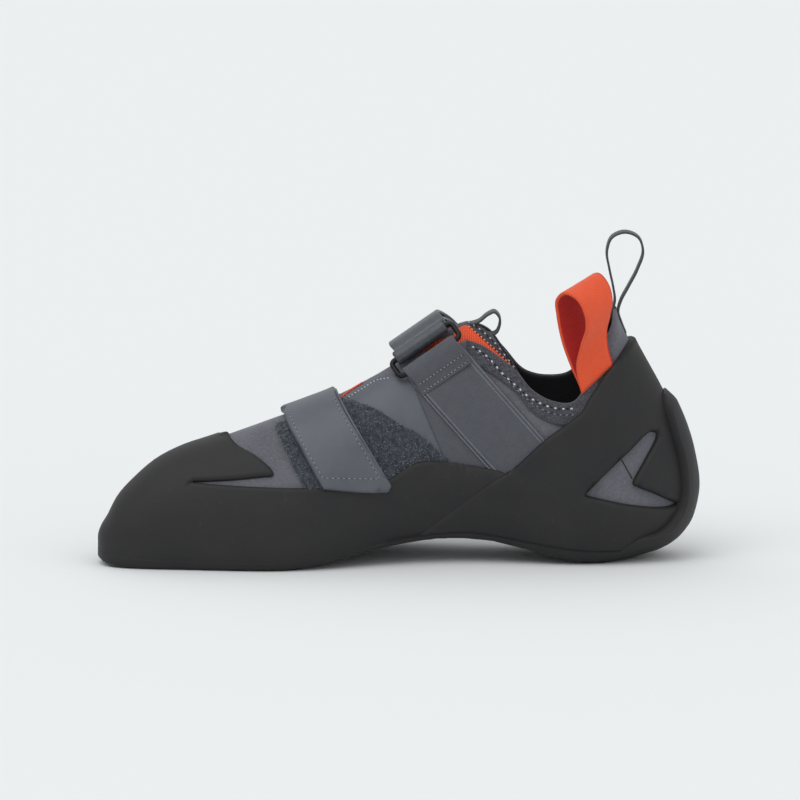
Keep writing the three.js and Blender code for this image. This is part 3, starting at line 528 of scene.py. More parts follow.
def drop_loose(piece):
    """Leaves out the points that no face uses."""
    mesh = piece.data
    used = np.zeros(len(mesh.vertices), bool)
    index = np.empty(len(mesh.loops), int)
    mesh.loops.foreach_get("vertex_index", index)
    used[index] = True
    if used.all():
        return
    work = bmesh.new()
    work.from_mesh(mesh)
    work.verts.ensure_lookup_table()
    bmesh.ops.delete(work, geom=[work.verts[i] for i in np.flatnonzero(~used)], context="VERTS")
    work.to_mesh(mesh)
    work.free()


def swept(name, material, rows, width, thickness, back=None):
    """A flat band along rows of (middle, width direction, thickness direction), with rounded sides;
    back is the material of its side against the thickness direction."""
    round_sides = 5
    middle, wide, thick = (np.array([row[k] for row in rows], float) for k in range(3))
    widths = np.broadcast_to(np.asarray(width, float), len(rows))
    thicks = np.broadcast_to(np.asarray(thickness, float), len(rows))
    outline = []
    across = np.linspace(-1, 1, 9)
    for side in (1, -1):
        for a in across[:-1] * side:
            outline.append((a, side, 0))
        for k in range(round_sides + 1):
            angle = math.pi * k / (round_sides + 1)
            outline.append((side, math.cos(angle) * side, math.sin(angle) * side))
    rings = []
    for a, t, out in outline:
        sideways = (widths - thicks) / 2 * a + thicks / 2 * out
        rings.append(middle + wide * sideways[:, None] + thick * (thicks / 2 * t)[:, None])
    points = np.stack(rings, 1)
    count, sides = points.shape[:2]
    end = (count - 1) * sides
    caps = [tuple(range(sides))[::-1], tuple(range(end, end + sides))]
    faces = net_faces(count, sides, closed=True) + caps
    run = np.concatenate([[0], np.cumsum(np.linalg.norm(np.diff(middle, axis=0), axis=1))])
    cross = np.array([a for a, _, _ in outline]) * float(np.mean(widths)) / 2
    uv = np.stack(np.meshgrid(run, cross, indexing="ij"), -1).reshape(-1, 2)
    behind = [i * sides + j for i in range(count - 1) for j in range(sides // 2, sides)]
    return build(name, points.reshape(-1, 3), faces, material, uv, back, behind)


def fine(points, steps):
    """A smooth line through points, with a number of steps between each two."""
    points = np.asarray(points, float)
    spans = np.linalg.norm(np.diff(points, axis=0), axis=1)
    slope = np.diff(points, axis=0) / spans[:, None]
    after = (spans[1:] / (spans[:-1] + spans[1:]))[:, None]
    tangent = np.vstack([slope[:1], slope[:-1] * after + slope[1:] * (1 - after), slope[-1:]])
    line = []
    for i, span in enumerate(spans):
        for t in np.arange(steps) / steps:
            line.append((1 + 2 * t) * (1 - t) ** 2 * points[i] + t * (1 - t) ** 2 * span * tangent[i]
                        + t * t * (3 - 2 * t) * points[i + 1] - t * t * (1 - t) * span * tangent[i + 1])
    line.append(points[-1])
    return np.array(line)


def along_edges(left, right):
    """Rows for a band between two edges."""
    middle = (left + right) / 2
    wide = unit(right - left)
    run = unit(np.gradient(middle, axis=0))
    thick = unit(np.cross(run, wide))
    return list(zip(middle, wide, thick)), np.linalg.norm(right - left, axis=1)


def stitches(name, material, line, up, length, width, gap_length, offset=0.0):
    """Short threads along a line in space; up is the outward direction at each of its points."""
    steps = np.concatenate([[0], np.cumsum(np.linalg.norm(np.diff(line, axis=0), axis=1))])
    points, faces = [], []
    around, along_thread = 6, 5
    start = gap_length / 2 + offset
    while start + length < steps[-1]:
        stations = start + np.linspace(0, 1, along_thread) * length
        centre = np.stack([np.interp(stations, steps, line[:, k]) for k in range(3)], -1)
        outward = unit(np.stack([np.interp(stations, steps, up[:, k]) for k in range(3)], -1))
        run = unit(np.gradient(centre, axis=0))
        side = unit(np.cross(run, outward))
        size = width / 2 * np.sqrt(np.clip(1 - np.linspace(-0.92, 0.92, along_thread) ** 2, 0.02, 1))
        first = len(points)
        for i in range(along_thread):
            for j in range(around):
                angle = 2 * math.pi * j / around
                points.append(centre[i] + outward[i] * (size[i] * math.sin(angle))
                              + side[i] * size[i] * math.cos(angle))
        last = (along_thread - 1) * around
        ends = [tuple(range(around))[::-1], tuple(range(last, last + around))]
        for face in [*net_faces(along_thread, around, closed=True), *ends]:
            faces.append(tuple(first + corner for corner in face))
        start += length + gap_length
    return build(name, points, faces, material)


def side_line(rows, side):
    """Places of a line drawn from the side."""
    return from_side(smooth(rows, SIDE_STEP), side)


def sewn(name, line, up, length, width, gap_length, slot, thread="thread"):
    """A row of threads with the needle holes between them."""
    stitches(name, thread, line, up, length, width, gap_length)
    pitch = length + gap_length
    hole = 0.45 * gap_length
    holes = stitches(name + "_holes", "hole", line, up, hole, 0.85 * width, pitch - hole, pitch / 2)


def sewn_on(name, places, lift, length, width, gap_length, slot, **threads):
    """A row of stitches over the outside, along a line of places."""
    sewn(name, lifted(places, lift), normal(*places.T), length, width, gap_length, slot, **threads)


def strip(name, material, places, lift, width, thickness):
    """A narrow band laid along a line of places."""
    middle = lifted(places, lift)
    out = normal(*places.T)
    run = unit(np.gradient(middle, axis=0))
    piece = swept(name, material, list(zip(middle, unit(np.cross(out, run)), out)), width, thickness)


# Materials

def shader(name, color, roughness, **values):
    """A material with its principled shader; returns the node tree and the shader node."""
    material = bpy.data.materials.new(name)
    material.use_nodes = True
    tree = material.node_tree
    node = tree.nodes["Principled BSDF"]
    node.inputs["Base Color"].default_value = (*color, 1)
    node.inputs["Roughness"].default_value = roughness
    for key, value in values.items():
        node.inputs[key.replace("_", " ")].default_value = value
    MATERIALS[name] = material
    return tree, node


def add(tree, kind, **values):
    node = tree.nodes.new(kind)
    for key, value in values.items():
        if hasattr(node, key):
            setattr(node, key, value)
        else:
            node.inputs[key.replace("_", " ")].default_value = value
    return node


def coordinates(tree, kind="Object", rotation=(0, 0, 0)):
    source = add(tree, "ShaderNodeTexCoord")
    mapping = add(tree, "ShaderNodeMapping")
    mapping.inputs["Rotation"].default_value = rotation
    tree.links.new(source.outputs[kind], mapping.inputs["Vector"])
    return mapping.outputs["Vector"]


def noise(tree, vector, scale, detail, rough=0.5):
    node = add(tree, "ShaderNodeTexNoise")
    node.inputs["Scale"].default_value = scale
    node.inputs["Detail"].default_value = detail
    node.inputs["Roughness"].default_value = rough
    tree.links.new(vector, node.inputs["Vector"])
    return node.outputs["Fac"]


def ramp(tree, factor, stops):
    """A colour ramp from (position, colour) stops; a colour is a number or three numbers."""
    node = add(tree, "ShaderNodeValToRGB")
    while len(node.color_ramp.elements) < len(stops):
        node.color_ramp.elements.new(0.5)
    for element, (position, color) in zip(node.color_ramp.elements, stops):
        element.position = position
        element.color = (color, color, color, 1) if np.isscalar(color) else (*color, 1)
    tree.links.new(factor, node.inputs["Fac"])
    return node.outputs["Color"]


def bump(tree, height, strength, distance, before=None):
    node = add(tree, "ShaderNodeBump")
    node.inputs["Strength"].default_value = strength
    node.inputs["Distance"].default_value = distance * MM
    tree.links.new(height, node.inputs["Height"])
    if before is not None:
        tree.links.new(before, node.inputs["Normal"])
    return node.outputs["Normal"]


def mix(tree, factor, a, b):
    node = add(tree, "ShaderNodeMix", data_type="RGBA")
    for socket, value in ((node.inputs["Factor"], factor), (node.inputs[6], a), (node.inputs[7], b)):
        if isinstance(value, bpy.types.NodeSocket):
            tree.links.new(value, socket)
        elif np.isscalar(value):
            socket.default_value = value
        else:
            socket.default_value = (*value, 1)
    return node.outputs[2]


def math_node(tree, operation, *values):
    node = add(tree, "ShaderNodeMath", operation=operation)
    for socket, value in zip(node.inputs, values):
        if isinstance(value, bpy.types.NodeSocket):
            tree.links.new(value, socket)
        else:
            socket.default_value = value
    return node.outputs[0]


def srgb(r, g, b):
    """A linear colour from 0 to 255 values."""
    def one(v):
        v /= 255
        return v / 12.92 if v <= 0.04045 else ((v + 0.055) / 1.055) ** 2.4
    return one(r), one(g), one(b)


def finish_material(tree, node, color, rough, relief):
    tree.links.new(color, node.inputs["Base Color"])
    if rough is not None:
        tree.links.new(rough, node.inputs["Roughness"])
    tree.links.new(relief, node.inputs["Normal"])


def make_rubber():
    tree, node = shader("rubber", srgb(38, 38, 40), 0.6, Specular_IOR_Level=0.32)
    place = coordinates(tree)
    broad = noise(tree, place, 28, 4, 0.6)
    dust = noise(tree, place, 420, 5, 0.7)
    pores = noise(tree, place, 2600, 2, 0.5)
    color = ramp(tree, broad, [(0.3, srgb(31, 31, 33)), (0.7, srgb(42, 41, 41))])
    specks = ramp(tree, dust, [(0.6, 0.0), (0.78, 1.0)])
    color = mix(tree, math_node(tree, "MULTIPLY", specks, 0.22), color, srgb(84, 81, 76))
    rough = ramp(tree, broad, [(0.25, 0.5), (0.75, 0.66)])
    up = bump(tree, broad, 0.25, 0.8)
    up = bump(tree, dust, 0.35, 0.12, up)
    up = bump(tree, pores, 0.3, 0.05, up)
    finish_material(tree, node, color, rough, up)


def make_suede():
    tree, node = shader("suede", srgb(92, 92, 98), 0.92, Sheen_Weight=0.35, Sheen_Roughness=0.5)
    node.inputs["Sheen Tint"].default_value = (*srgb(190, 192, 205), 1)
    place = coordinates(tree)
    broad = noise(tree, place, 45, 4, 0.6)
    nap = noise(tree, place, 900, 4, 0.7)
    fibre = noise(tree, place, 4200, 2, 0.6)
    color = ramp(tree, broad, [(0.3, srgb(80, 80, 86)), (0.7, srgb(99, 99, 106))])
    color = mix(tree, ramp(tree, nap, [(0.4, 0.0), (0.75, 0.5)]), color, srgb(122, 122, 130))
    up = bump(tree, nap, 0.5, 0.25)
    up = bump(tree, fibre, 0.5, 0.08, up)
    finish_material(tree, node, color, None, up)


def make_smooth():
    tree, node = shader("smooth", srgb(80, 84, 92), 0.5, Coat_Weight=0.12, Coat_Roughness=0.35)
    place = coordinates(tree)
    broad = noise(tree, place, 60, 4, 0.6)
    grain = add(tree, "ShaderNodeTexVoronoi", feature="SMOOTH_F1")
    grain.inputs["Scale"].default_value = 900
    tree.links.new(place, grain.inputs["Vector"])
    color = ramp(tree, broad, [(0.3, srgb(72, 76, 84)), (0.7, srgb(86, 90, 98))])
    rough = ramp(tree, broad, [(0.3, 0.42), (0.7, 0.56)])
    up = bump(tree, grain.outputs["Distance"], 0.25, 0.08)
    up = bump(tree, broad, 0.2, 0.5, up)
    finish_material(tree, node, color, rough, up)


def woven(name, dark, light, rough, rotation, rib, kind="Object"):
    """Webbing with ribs across it; rib is the width of one in millimetres."""
    tree, node = shader(name, light, rough, Sheen_Weight=0.2, Sheen_Roughness=0.4)
    place = coordinates(tree, kind, rotation)
    ribs = add(tree, "ShaderNodeTexWave", wave_type="BANDS", bands_direction="X", wave_profile="SIN")
    ribs.inputs["Scale"].default_value = 1 / (rib * MM) / WAVE
    ribs.inputs["Distortion"].default_value = 0.6
    ribs.inputs["Detail"].default_value = 2
    tree.links.new(place, ribs.inputs["Vector"])
    across = "Z" if kind == "Object" else "Y"
    yarns = add(tree, "ShaderNodeTexWave", wave_type="BANDS", bands_direction=across)
    yarns.inputs["Scale"].default_value = 1 / (1.3 * rib * MM) / WAVE
    yarns.inputs["Distortion"].default_value = 0.4
    tree.links.new(place, yarns.inputs["Vector"])
    faint = math_node(tree, "MULTIPLY_ADD", yarns.outputs["Fac"], YARN_SHARE, 1 - YARN_SHARE)
    both = math_node(tree, "MULTIPLY", ribs.outputs["Fac"], faint)
    worn = noise(tree, place, 300, 4, 0.6)
    color = ramp(tree, both, [(0.05, dark), (0.8, light)])
    color = mix(tree, ramp(tree, worn, [(0.4, 0.0), (0.8, 0.3)]), color, dark)
    up = bump(tree, both, 0.6, 0.18)
    up = bump(tree, noise(tree, place, 5000, 2), 0.3, 0.05, up)
    finish_material(tree, node, color, None, up)


def make_knit():
    tree, node = shader("knit", srgb(74, 74, 81), 0.95, Sheen_Weight=0.25, Sheen_Roughness=0.5)
    place = coordinates(tree)
    loops = add(tree, "ShaderNodeTexVoronoi", feature="F1")
    loops.inputs["Scale"].default_value = 1100
    loops.inputs["Randomness"].default_value = 0.55
    tree.links.new(place, loops.inputs["Vector"])
    broad = noise(tree, place, 80, 4, 0.6)
    color = ramp(tree, loops.outputs["Distance"], [(0.1, srgb(86, 86, 93)), (0.7, srgb(50, 50, 56))])
    color = mix(tree, ramp(tree, broad, [(0.4, 0.0), (0.7, 0.35)]), color, srgb(58, 58, 64))
    up = bump(tree, loops.outputs["Distance"], -0.6, 0.3)
    finish_material(tree, node, color, None, up)


def make_fuzz():
    tree, node = shader("fuzz", srgb(66, 71, 79), 0.8, Sheen_Weight=0.5, Sheen_Roughness=0.35)
    place = coordinates(tree)
    pile = noise(tree, place, 1500, 5, 0.8)
    curls = add(tree, "ShaderNodeTexVoronoi", feature="F1")
    curls.inputs["Scale"].default_value = 650
    tree.links.new(place, curls.inputs["Vector"])
    # The palest stop is a painted highlight: rare pale specks stand for glints on the pile's loops
    stops = [(0.35, srgb(44, 48, 55)), (0.62, srgb(78, 84, 92)), (0.74, srgb(150, 154, 160))]
    color = ramp(tree, pile, stops)
    up = bump(tree, pile, 0.9, 0.5)
    up = bump(tree, curls.outputs["Distance"], 0.6, 0.4, up)
    finish_material(tree, node, color, None, up)


def make_plain(name, color, rough, scale, height, **values):
    """A moulded or dark surface with slight unevenness."""
    tree, node = shader(name, color, rough, **values)
    place = coordinates(tree)
    grain = noise(tree, place, scale, 4, 0.6)
    darker = tuple(0.75 * v for v in color)
    lighter = tuple(min(1.25 * v, 1) for v in color)
    tint = ramp(tree, grain, [(0.3, darker), (0.7, lighter)])
    finish_material(tree, node, tint, None, bump(tree, grain, 0.4, height))


make_rubber()
make_suede()
make_smooth()
make_knit()
make_fuzz()
woven("webbing", srgb(56, 58, 64), srgb(98, 100, 108), 0.8, (0, math.radians(-59), 0), 0.62)
woven("orange", srgb(196, 62, 26), srgb(250, 98, 54), 0.8, (0, 0, 0), 0.8)
woven("tab_weave", srgb(205, 66, 30), srgb(252, 100, 52), 0.75, (0, 0, 0), 0.7, "UV")
woven("cord", srgb(48, 50, 54), srgb(84, 87, 92), 0.8, (0, 0, 0), 0.6, "UV")
make_plain("satin", srgb(58, 62, 68), 0.42, 500, 0.12, Coat_Weight=0.15)
make_plain("plastic", srgb(9, 10, 12), 0.4, 300, 0.1, Specular_IOR_Level=0.3)
# A paler copy of the pile's colour, a painted highlight for loops that catch light
make_plain("pile_painted_glint", srgb(128, 134, 142), 0.7, 900, 0.02)
make_plain("pile_dark", srgb(66, 71, 79), 0.8, 900, 0.02)
make_plain("footbed", srgb(40, 40, 44), 0.95, 700, 0.2)
make_plain("inside", srgb(30, 30, 34), 0.95, 900, 0.2)
make_plain("thread", srgb(196, 196, 202), 0.7, 2500, 0.05)
make_plain("soft_thread", srgb(128, 132, 140), 0.7, 2500, 0.05)
make_plain("orange_thread", srgb(255, 140, 100), 0.7, 2500, 0.05)
make_plain("hole", srgb(22, 23, 27), 0.9, 2500, 0.05)
make_plain("selvedge", srgb(104, 106, 114), 0.75, 1800, 0.1)
# A darker red copy of the orange tab weave, painted shade for the tab's inner side
make_plain("tab_painted_shade", srgb(186, 34, 28), 0.8, 1800, 0.1)


# The pieces that lie on the shoe

def at(table, x):
    """A table's value at a place along it."""
    return np.interp(x, *np.array(table).T)


def bottom_line(side, first, last):
    """The line just under the sole's edge, from one row to another."""
    x = section(np.linspace(first, last, 160))[:, 0]
    return from_side(np.column_stack([x, at(SOLE_LINE, x) - TUCK]), side)


def pole_line(u, first, last):
    """The short line where the skin closes at the toe or the heel."""
    turns = np.linspace(first, last, 26)[1:-1]
    return np.column_stack([np.full(len(turns), float(u)), turns])


def joined(*lines):
    """One loop from lines that meet end to end."""
    loop = np.vstack(lines)
    gaps = np.linalg.norm((loop - np.roll(loop, 1, 0)) * SCALE, axis=1)
    return loop[gaps > 0.02]


def ringed(loop):
    """A loop that ends where it starts."""
    return np.vstack([loop, loop[:1]])


def above_part(line):
    """The line without its points past the ridge."""
    return line[np.abs(line[:, 1]) > 0]


def to_ridge(line, at_start=True):
    """The line, ended on the ridge."""
    kept = above_part(line)
    end = kept[0] if at_start else kept[-1]
    ridge = np.array([[end[0], 0.0]])
    return np.vstack([ridge, kept]) if at_start else np.vstack([kept, ridge])


def make_upper():
    edges = []
    for throat, collar, side in ((THROAT_INNER, COLLAR_INNER, 1), (THROAT_OUTER, COLLAR_OUTER, -1)):
        throat_edge = from_above(smooth(throat, EDGE_STEP))
        collar_edge = from_side(smooth(collar, EDGE_STEP), side)
        edges.append(to_ridge(np.vstack([throat_edge[1:-1], collar_edge]), False))
    mouth = joined(edges[0], edges[1][:-1][::-1])
    front = row_at(-206.0)
    low = 0.33
    rows = np.linspace(front, LAST, 90)
    sides = [np.column_stack([rows, np.full(len(rows), s * low)]) for s in (1, -1)]
    loop = joined(sides[0], pole_line(LAST, low, -low), sides[1][::-1], pole_line(front, -low, low))

    def seam(points, distance):
        roll = 0.5 * np.exp(-((distance - 2.2) / 1.6) ** 2)
        stitched = -0.35 * np.exp(-((distance - 5.2) / 0.7) ** 2)
        return np.where(points[:, 0] > -66, roll + stitched, 0)

    piece = panel("upper_shell", "suede", [loop, mouth], [ringed(mouth)], -1.0, 0.0, 1.0, 3.0,
                  seam, under=-WALL, back="inside")
    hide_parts("upper")


def covered(points):
    """Lift of the patch and the webbing that run in under the rubber on the big-toe side."""
    x, y, z = points.T
    steps = np.interp(x, [-102, -94, -78, -70, -28, -18], [0, 1.4, 1.4, 1.9, 1.9, 0])
    collar = 1.5 * np.clip((z - 58) / 6, 0, 1) * np.clip((3 - x) / 6, 0, 1) * (x > -30)
    return np.maximum(steps * (y < 0) * np.clip((z - 28) / 8, 0, 1), collar)


def make_toe_rand():
    inner = to_ridge(from_side(smooth(TOE_EDGE_INNER, EDGE_STEP), 1))
    outer = to_ridge(from_side(smooth(TOE_EDGE_OUTER, EDGE_STEP), -1))
    inner_low = bottom_line(1, 0, inner[-1][0])
    outer_low = bottom_line(-1, 0, outer[-1][0])
    pole = pole_line(0, inner_low[0][1], outer_low[0][1])
    loop = joined(inner, inner_low[::-1], pole, outer_low, outer[::-1][:-1])
    rim = np.vstack([inner[::-1], outer[1:]])

    piece = panel("toe_rubber", "rubber", [loop], [rim], covered,
                  lambda p: TOE_RUBBER + COVERED_SHARE * covered(p), 1.5, 2.6)
    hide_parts("toe_rand")


def keep_in_sole(piece):
    """Raise what reaches below the sole's underside into the sole, in front of the heel."""
    for vertex in piece.data.vertices:
        x, _, z = vertex.co / MM
        lowest = at(UNDERSIDE, x) + 1.0
        if x < HEEL_START and z < lowest:
            vertex.co.z = lowest * MM


def make_heel_rand():
    edges = [to_ridge(from_side(smooth(HEEL_EDGE, EDGE_STEP), side), False) for side in (1, -1)]
    lows = [bottom_line(side, edge[0][0], LAST) for side, edge in zip((1, -1), edges)]
    pole = pole_line(LAST, lows[1][-1][1], lows[0][-1][1])
    loop = joined(edges[0], edges[1][::-1][1:], lows[1], pole, lows[0][::-1])
    windows = [from_side(smooth(HEEL_WINDOW, SIDE_STEP, closed=True)[:-1], side) for side in (1, -1)]
    rims = [np.vstack([edges[0], edges[1][::-1][1:]])] + [ringed(window) for window in windows]

    def ridge(points, _):
        along = (points[:, 0] + 10) / 60
        line = 30 - 8 * along
        soft = 0.7 * np.exp(-((points[:, 2] - line) / 3.5) ** 2)
        return soft * np.clip((points[:, 0] + 60) / 25, 0, 1) * np.clip((-4 - points[:, 0]) / 8, 0, 1)

    piece = panel("heel_rubber", "rubber", [loop, *windows], rims, lambda p: 0.2 + covered(p),
                  lambda p: HEEL_RUBBER + COVERED_SHARE * covered(p), 1.6, 2.6, ridge)
    keep_in_sole(piece)
    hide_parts("heel_rand")


# The sole

def inside_share(points):
    """Under 1 inside the shoe's outside."""
    row = section(row_at(points[..., 0]))
    z = points[..., 2]
    high = z >= row[..., 6]
    square = np.where(high, row[..., 8], row[..., 7])
    reach = np.where(high, row[..., 2] - row[..., 6], row[..., 6] - row[..., 1])
    middle = np.where(high, row[..., 5], (row[..., 3] + row[..., 4]) / 2)
    y = points[..., 1]
    side = np.where(y < middle, middle - row[..., 3], row[..., 4] - middle)
    outside = (points[..., 0] > SECTIONS[-1, 0]) | (points[..., 0] < SECTIONS[0, 0])
    share = (np.abs(y - middle) / np.maximum(side, 0.01)) ** square
    share = share + (np.abs(z - row[..., 6]) / np.maximum(reach, 0.01)) ** square
    return np.where(outside, 9.0, share)


def cast(start, direction):
    """Where lines from inside the shoe meet its outside."""
    def inside(length):
        return inside_share(start + direction * length[..., None]) < 1

    return start + direction * halved(start.shape[:-1], 0, CAST, inside)[..., None]


def half_across(x, height):
    """The middle and the half width of the shoe at a height."""
    places = [from_side(np.array([[x, height]]), side) for side in (1, -1)]
    near, far = (base(*place.T)[0, 1] for place in places)
    return (near + far) / 2, (far - near) / 2


def make_sole():
    """The sole as a net of lines across it, from the toe, under the foot and up the back of the heel."""
    starts, directions, lift = [], [], []
    shares = np.sin(np.linspace(-1, 1, ACROSS) * math.pi / 2)
    tip = [0.004, 0.02, 0.06, 0.12, 0.2, 0.35, 0.5, 0.75]
    for u in [*tip, *np.arange(1, row_at(PIVOT[0]), 0.12)]:
        row = section(u)
        middle, half = half_across(row[0], at(SOLE_LINE, row[0]))
        starts.append(np.column_stack([np.full(ACROSS, row[0]), middle + half * shares * 0.9995,
                                       np.full(ACROSS, row[6])]))
        directions.append([0, 0, -1.0])
        lift.append(at(SOLE_OUT, row[0]))
    for angle in np.linspace(WRAP_FIRST, WRAP_LAST, 60):
        turn = math.radians(angle)
        direction = np.array([math.cos(turn), 0, math.sin(turn)])
        height = cast(PIVOT[None], direction)[0, 2]
        free = min((angle - WRAP_FIRST) / (WRAP_FREE - WRAP_FIRST), 1)
        wide = (half + (at(WRAP_HALF, height) - half) * free) * shares
        starts.append(np.column_stack([np.full(ACROSS, PIVOT[0]), wide, np.full(ACROSS, PIVOT[2])]))
        directions.append(direction)
        grow = np.clip((angle - WRAP_FIRST) / 50, 0, 1)
        thick = SOLE_SIDE + (SOLE_HEEL + 0.8 - SOLE_SIDE) * grow * grow * (3 - 2 * grow)
        thinned = np.clip((WRAP_TOP - height) / 8, 0, 1)
        lift.append(HEEL_RUBBER + (thick - HEEL_RUBBER) * thinned)
    net = np.stack([cast(start, np.array(direction)) for start, direction in zip(starts, directions)])
    lift = np.array(lift)[:, None]
    step = 0.15
    gradient = np.stack([
        inside_share(net + step * axis) - inside_share(net - step * axis) for axis in np.eye(3)], -1)
    out = unit(np.clip(gradient, -4, 4))
    for _ in range(3):
        out[1:-1] = unit(out[:-2] + 2 * out[1:-1] + out[2:])
    rims = []
    for edge, inner in ((0, 2), (-1, -3)):
        upward = unit(net[:, edge] - net[:, inner])
        outward = out[:, edge] * lift
        rims.append([net[:, edge] + outward * share + upward * over for share, over in ROUND_EDGE])
    full = (net + out * lift[..., None]).transpose(1, 0, 2)
    full = np.stack([*rims[0], *full, *rims[1][::-1]], 1)
    under = at(UNDERSIDE, full[..., 0])
    above = full[..., 2] - under - BEND
    soft = under + BEND * np.exp(np.minimum(above, 0) / BEND)
    full[..., 2] = np.where(above < 0, np.where(soft - under < FLAT, under, soft), full[..., 2])
    full[..., 2] = np.maximum(full[..., 2], 0)
    count, sides = full.shape[:2]
    end = (count - 1) * sides
    faces = [*(face[::-1] for face in net_faces(count, sides)), tuple(range(sides)),
             tuple(range(end, end + sides))[::-1]]
    uv = np.stack(np.meshgrid(np.arange(count) * 3.0, np.arange(sides) * 2.0, indexing="ij"), -1)
    piece = build("sole", full.reshape(-1, 3), faces, "rubber", uv.reshape(-1, 2))
    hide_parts("outsole")
    seam = [(x, height + 0.9) for x, height in SOLE_LINE if -100 < x < 24]
    for side, name in ((1, "sole_seam_inner"), (-1, "sole_seam_outer")):
        strip(name, "hole", side_line(seam, side), HEEL_RUBBER + 0.1, 0.45, 0.3)


def side_panel(name, material, outline, low, high, radius, node=None, spacing=2.0, side=1):
    """A panel from an outline seen from the side."""
    loop = from_side(smooth(outline, SIDE_STEP, closed=True)[:-1], side)
    piece = panel(name, material, [loop], [ringed(loop)], low, high, radius, spacing)
    if node:
        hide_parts(node)


def strap_lift(points):
    ease = np.clip(1 - (points[:, 1] + 8) / 24, 0, 1)
    return GAP + ease * (TOE_RUBBER - 0.2)


def make_front_strap():
    inner = above_part(side_line(STRAP_INNER, 1))
    outer = above_part(side_line(STRAP_OUTER, -1))
    front = np.array([[row_at(-142.9), 0.0]])
    rear = np.array([[row_at(-120.0), 0.0]])
    loop = joined(front, inner, rear, outer[::-1])
    piece = panel("front_strap_band", "smooth", [loop], [ringed(loop)], lambda p: strap_lift(p) - 0.2,
                  lambda p: strap_lift(p) + STRAP, 0.9, 2.2)
    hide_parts("front_strap")
    seam = side_line(STRAP_STITCH, 1)
    top = strap_lift(base(*seam.T)) + STRAP
    sewn_on("strap_stitches", seam, top + 0.02, 1.5, 0.42, 0.9, "smooth", thread="soft_thread")
    edge = side_line(STRAP_EDGE, 1)
    strip("strap_edge", "smooth", edge, strap_lift(base(*edge.T)) + STRAP, 0.9, 0.5)


def make_pile():
    """Fibre loops that stand up from the patch in every direction."""
    chance = np.random.default_rng(PILE_SEED)
    outline = smooth(LOOP_PATCH, 1.0, closed=True)
    spots = chance.uniform(outline.min(0), outline.max(0), (PILE_TRIES, 2))
    spots = spots[inside_of(spots, [outline])]
    places = from_side(spots, 1)
    angle = chance.uniform(0, 2 * math.pi, len(places))
    out = normal(*places.T)
    along = unit(np.cross(out, [0.0, 1.0, 0.3]))
    run = along * np.cos(angle)[:, None] + np.cross(out, along) * np.sin(angle)[:, None]
    foot = lifted(places, GAP + 1.0)
    side = np.cross(run, out)
    points = []
    for share, height, size in PILE_LOOP:
        middle = foot + run * (PILE_HALF * share) + out * height
        for corner in range(PILE_SIDES):
            turn = 2 * math.pi * corner / PILE_SIDES
            points.append(middle + side * (size * math.cos(turn)) + out * (size * math.sin(turn)))
    points = np.stack(points, 1)
    loop = net_faces(len(PILE_LOOP), PILE_SIDES, closed=True)
    size = len(PILE_LOOP) * PILE_SIDES
    # A quarter of the loops take the paler copy, painted glints on the pile
    pale = len(points) // 4
    for name, chosen in (("pile_painted_glint", points[:pale]), ("pile_dark", points[pale:])):
        faces = [tuple(size * thread + corner for corner in face)
                 for thread in range(len(chosen)) for face in loop]
        piece = build(name, chosen.reshape(-1, 3), faces, name)


# The ring and what folds round it

RING_PLACE = from_side(np.array([[-79.5, 91.3]]), 1)
RING_TURN = float(RING_PLACE[0, 1])
RING_POINT = base(*RING_PLACE.T)[0]
RING_OUT = normal(*RING_PLACE.T)[0]
RING_LENGTHWISE, RING_CROSSWISE = (way[0] for way in slopes(*RING_PLACE.T))
RING_RUN = unit(RING_LENGTHWISE)
RING_RUN = unit(RING_RUN - RING_OUT * np.dot(RING_RUN, RING_OUT))
RING_DOWN = np.cross(RING_RUN, RING_OUT)


def beside_ring(down, lift):
    return RING_POINT + RING_DOWN * down + RING_OUT * lift


def turn_round(side, thickness):
    """Points of the half turn of a band round one of the ring's bars."""
    bar = side * (RING_HEIGHT - RING_ROD) / 2
    radius = RING_ROD / 2 + GAP + thickness / 2
    past = bar + side * RING_ROD / 1.5
    angles = np.linspace(0, math.pi, 9)
    middle = [beside_ring(bar - side * radius * math.sin(angle), RING_LIFT - radius * math.cos(angle))
              for angle in angles]
    return [beside_ring(past, RING_LIFT - radius), *middle, beside_ring(past, RING_LIFT + radius)]


def over(x, turn, lift):
    """A point at a lift off the outside."""
    return lifted(np.array([[row_at(x), turn]]), lift)[0]


def banded(name, material, route, wides, width, thickness):
    """A band along a route, with the direction of its width given at each point."""
    line = fine(route, BAND_STEPS)
    share = np.arange(len(line)) / BAND_STEPS
    rows = np.arange(len(wides))
    wide = unit(np.stack([np.interp(share, rows, values) for values in np.transpose(wides)], -1))
    run = unit(np.gradient(line, axis=0))
    thick = unit(np.cross(run, wide))
    return swept(name, material, list(zip(line, wide, thick)), width, thickness), (line, wide, thick)


def towards_ring(rows):
    """Directions of a strap's width: along the shoe at the first row and along the ring from the fifth."""
    wides = []
    for count, (x, turn, _) in enumerate(rows):
        along = unit(slopes(np.array([row_at(x)]), np.array([turn]))[0][0])
        share = min(count / 4, 1.0)
        wides.append(unit(along + (RING_RUN - along) * share * share * (3 - 2 * share)))
    return wides


def make_rear_strap():
    fold = turn_round(-1, FOLDED_STRAP)
    route = [over(*row) for row in STRAP_UNDER] + fold + [over(*row) for row in STRAP_TOP]
    wides = towards_ring(STRAP_UNDER) + [RING_RUN] * len(fold) + towards_ring(STRAP_TOP[::-1])[::-1]
    piece, _ = banded("rear_strap_band", "satin", route, wides, STRAP_WIDTH, FOLDED_STRAP)
    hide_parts("rear_strap")


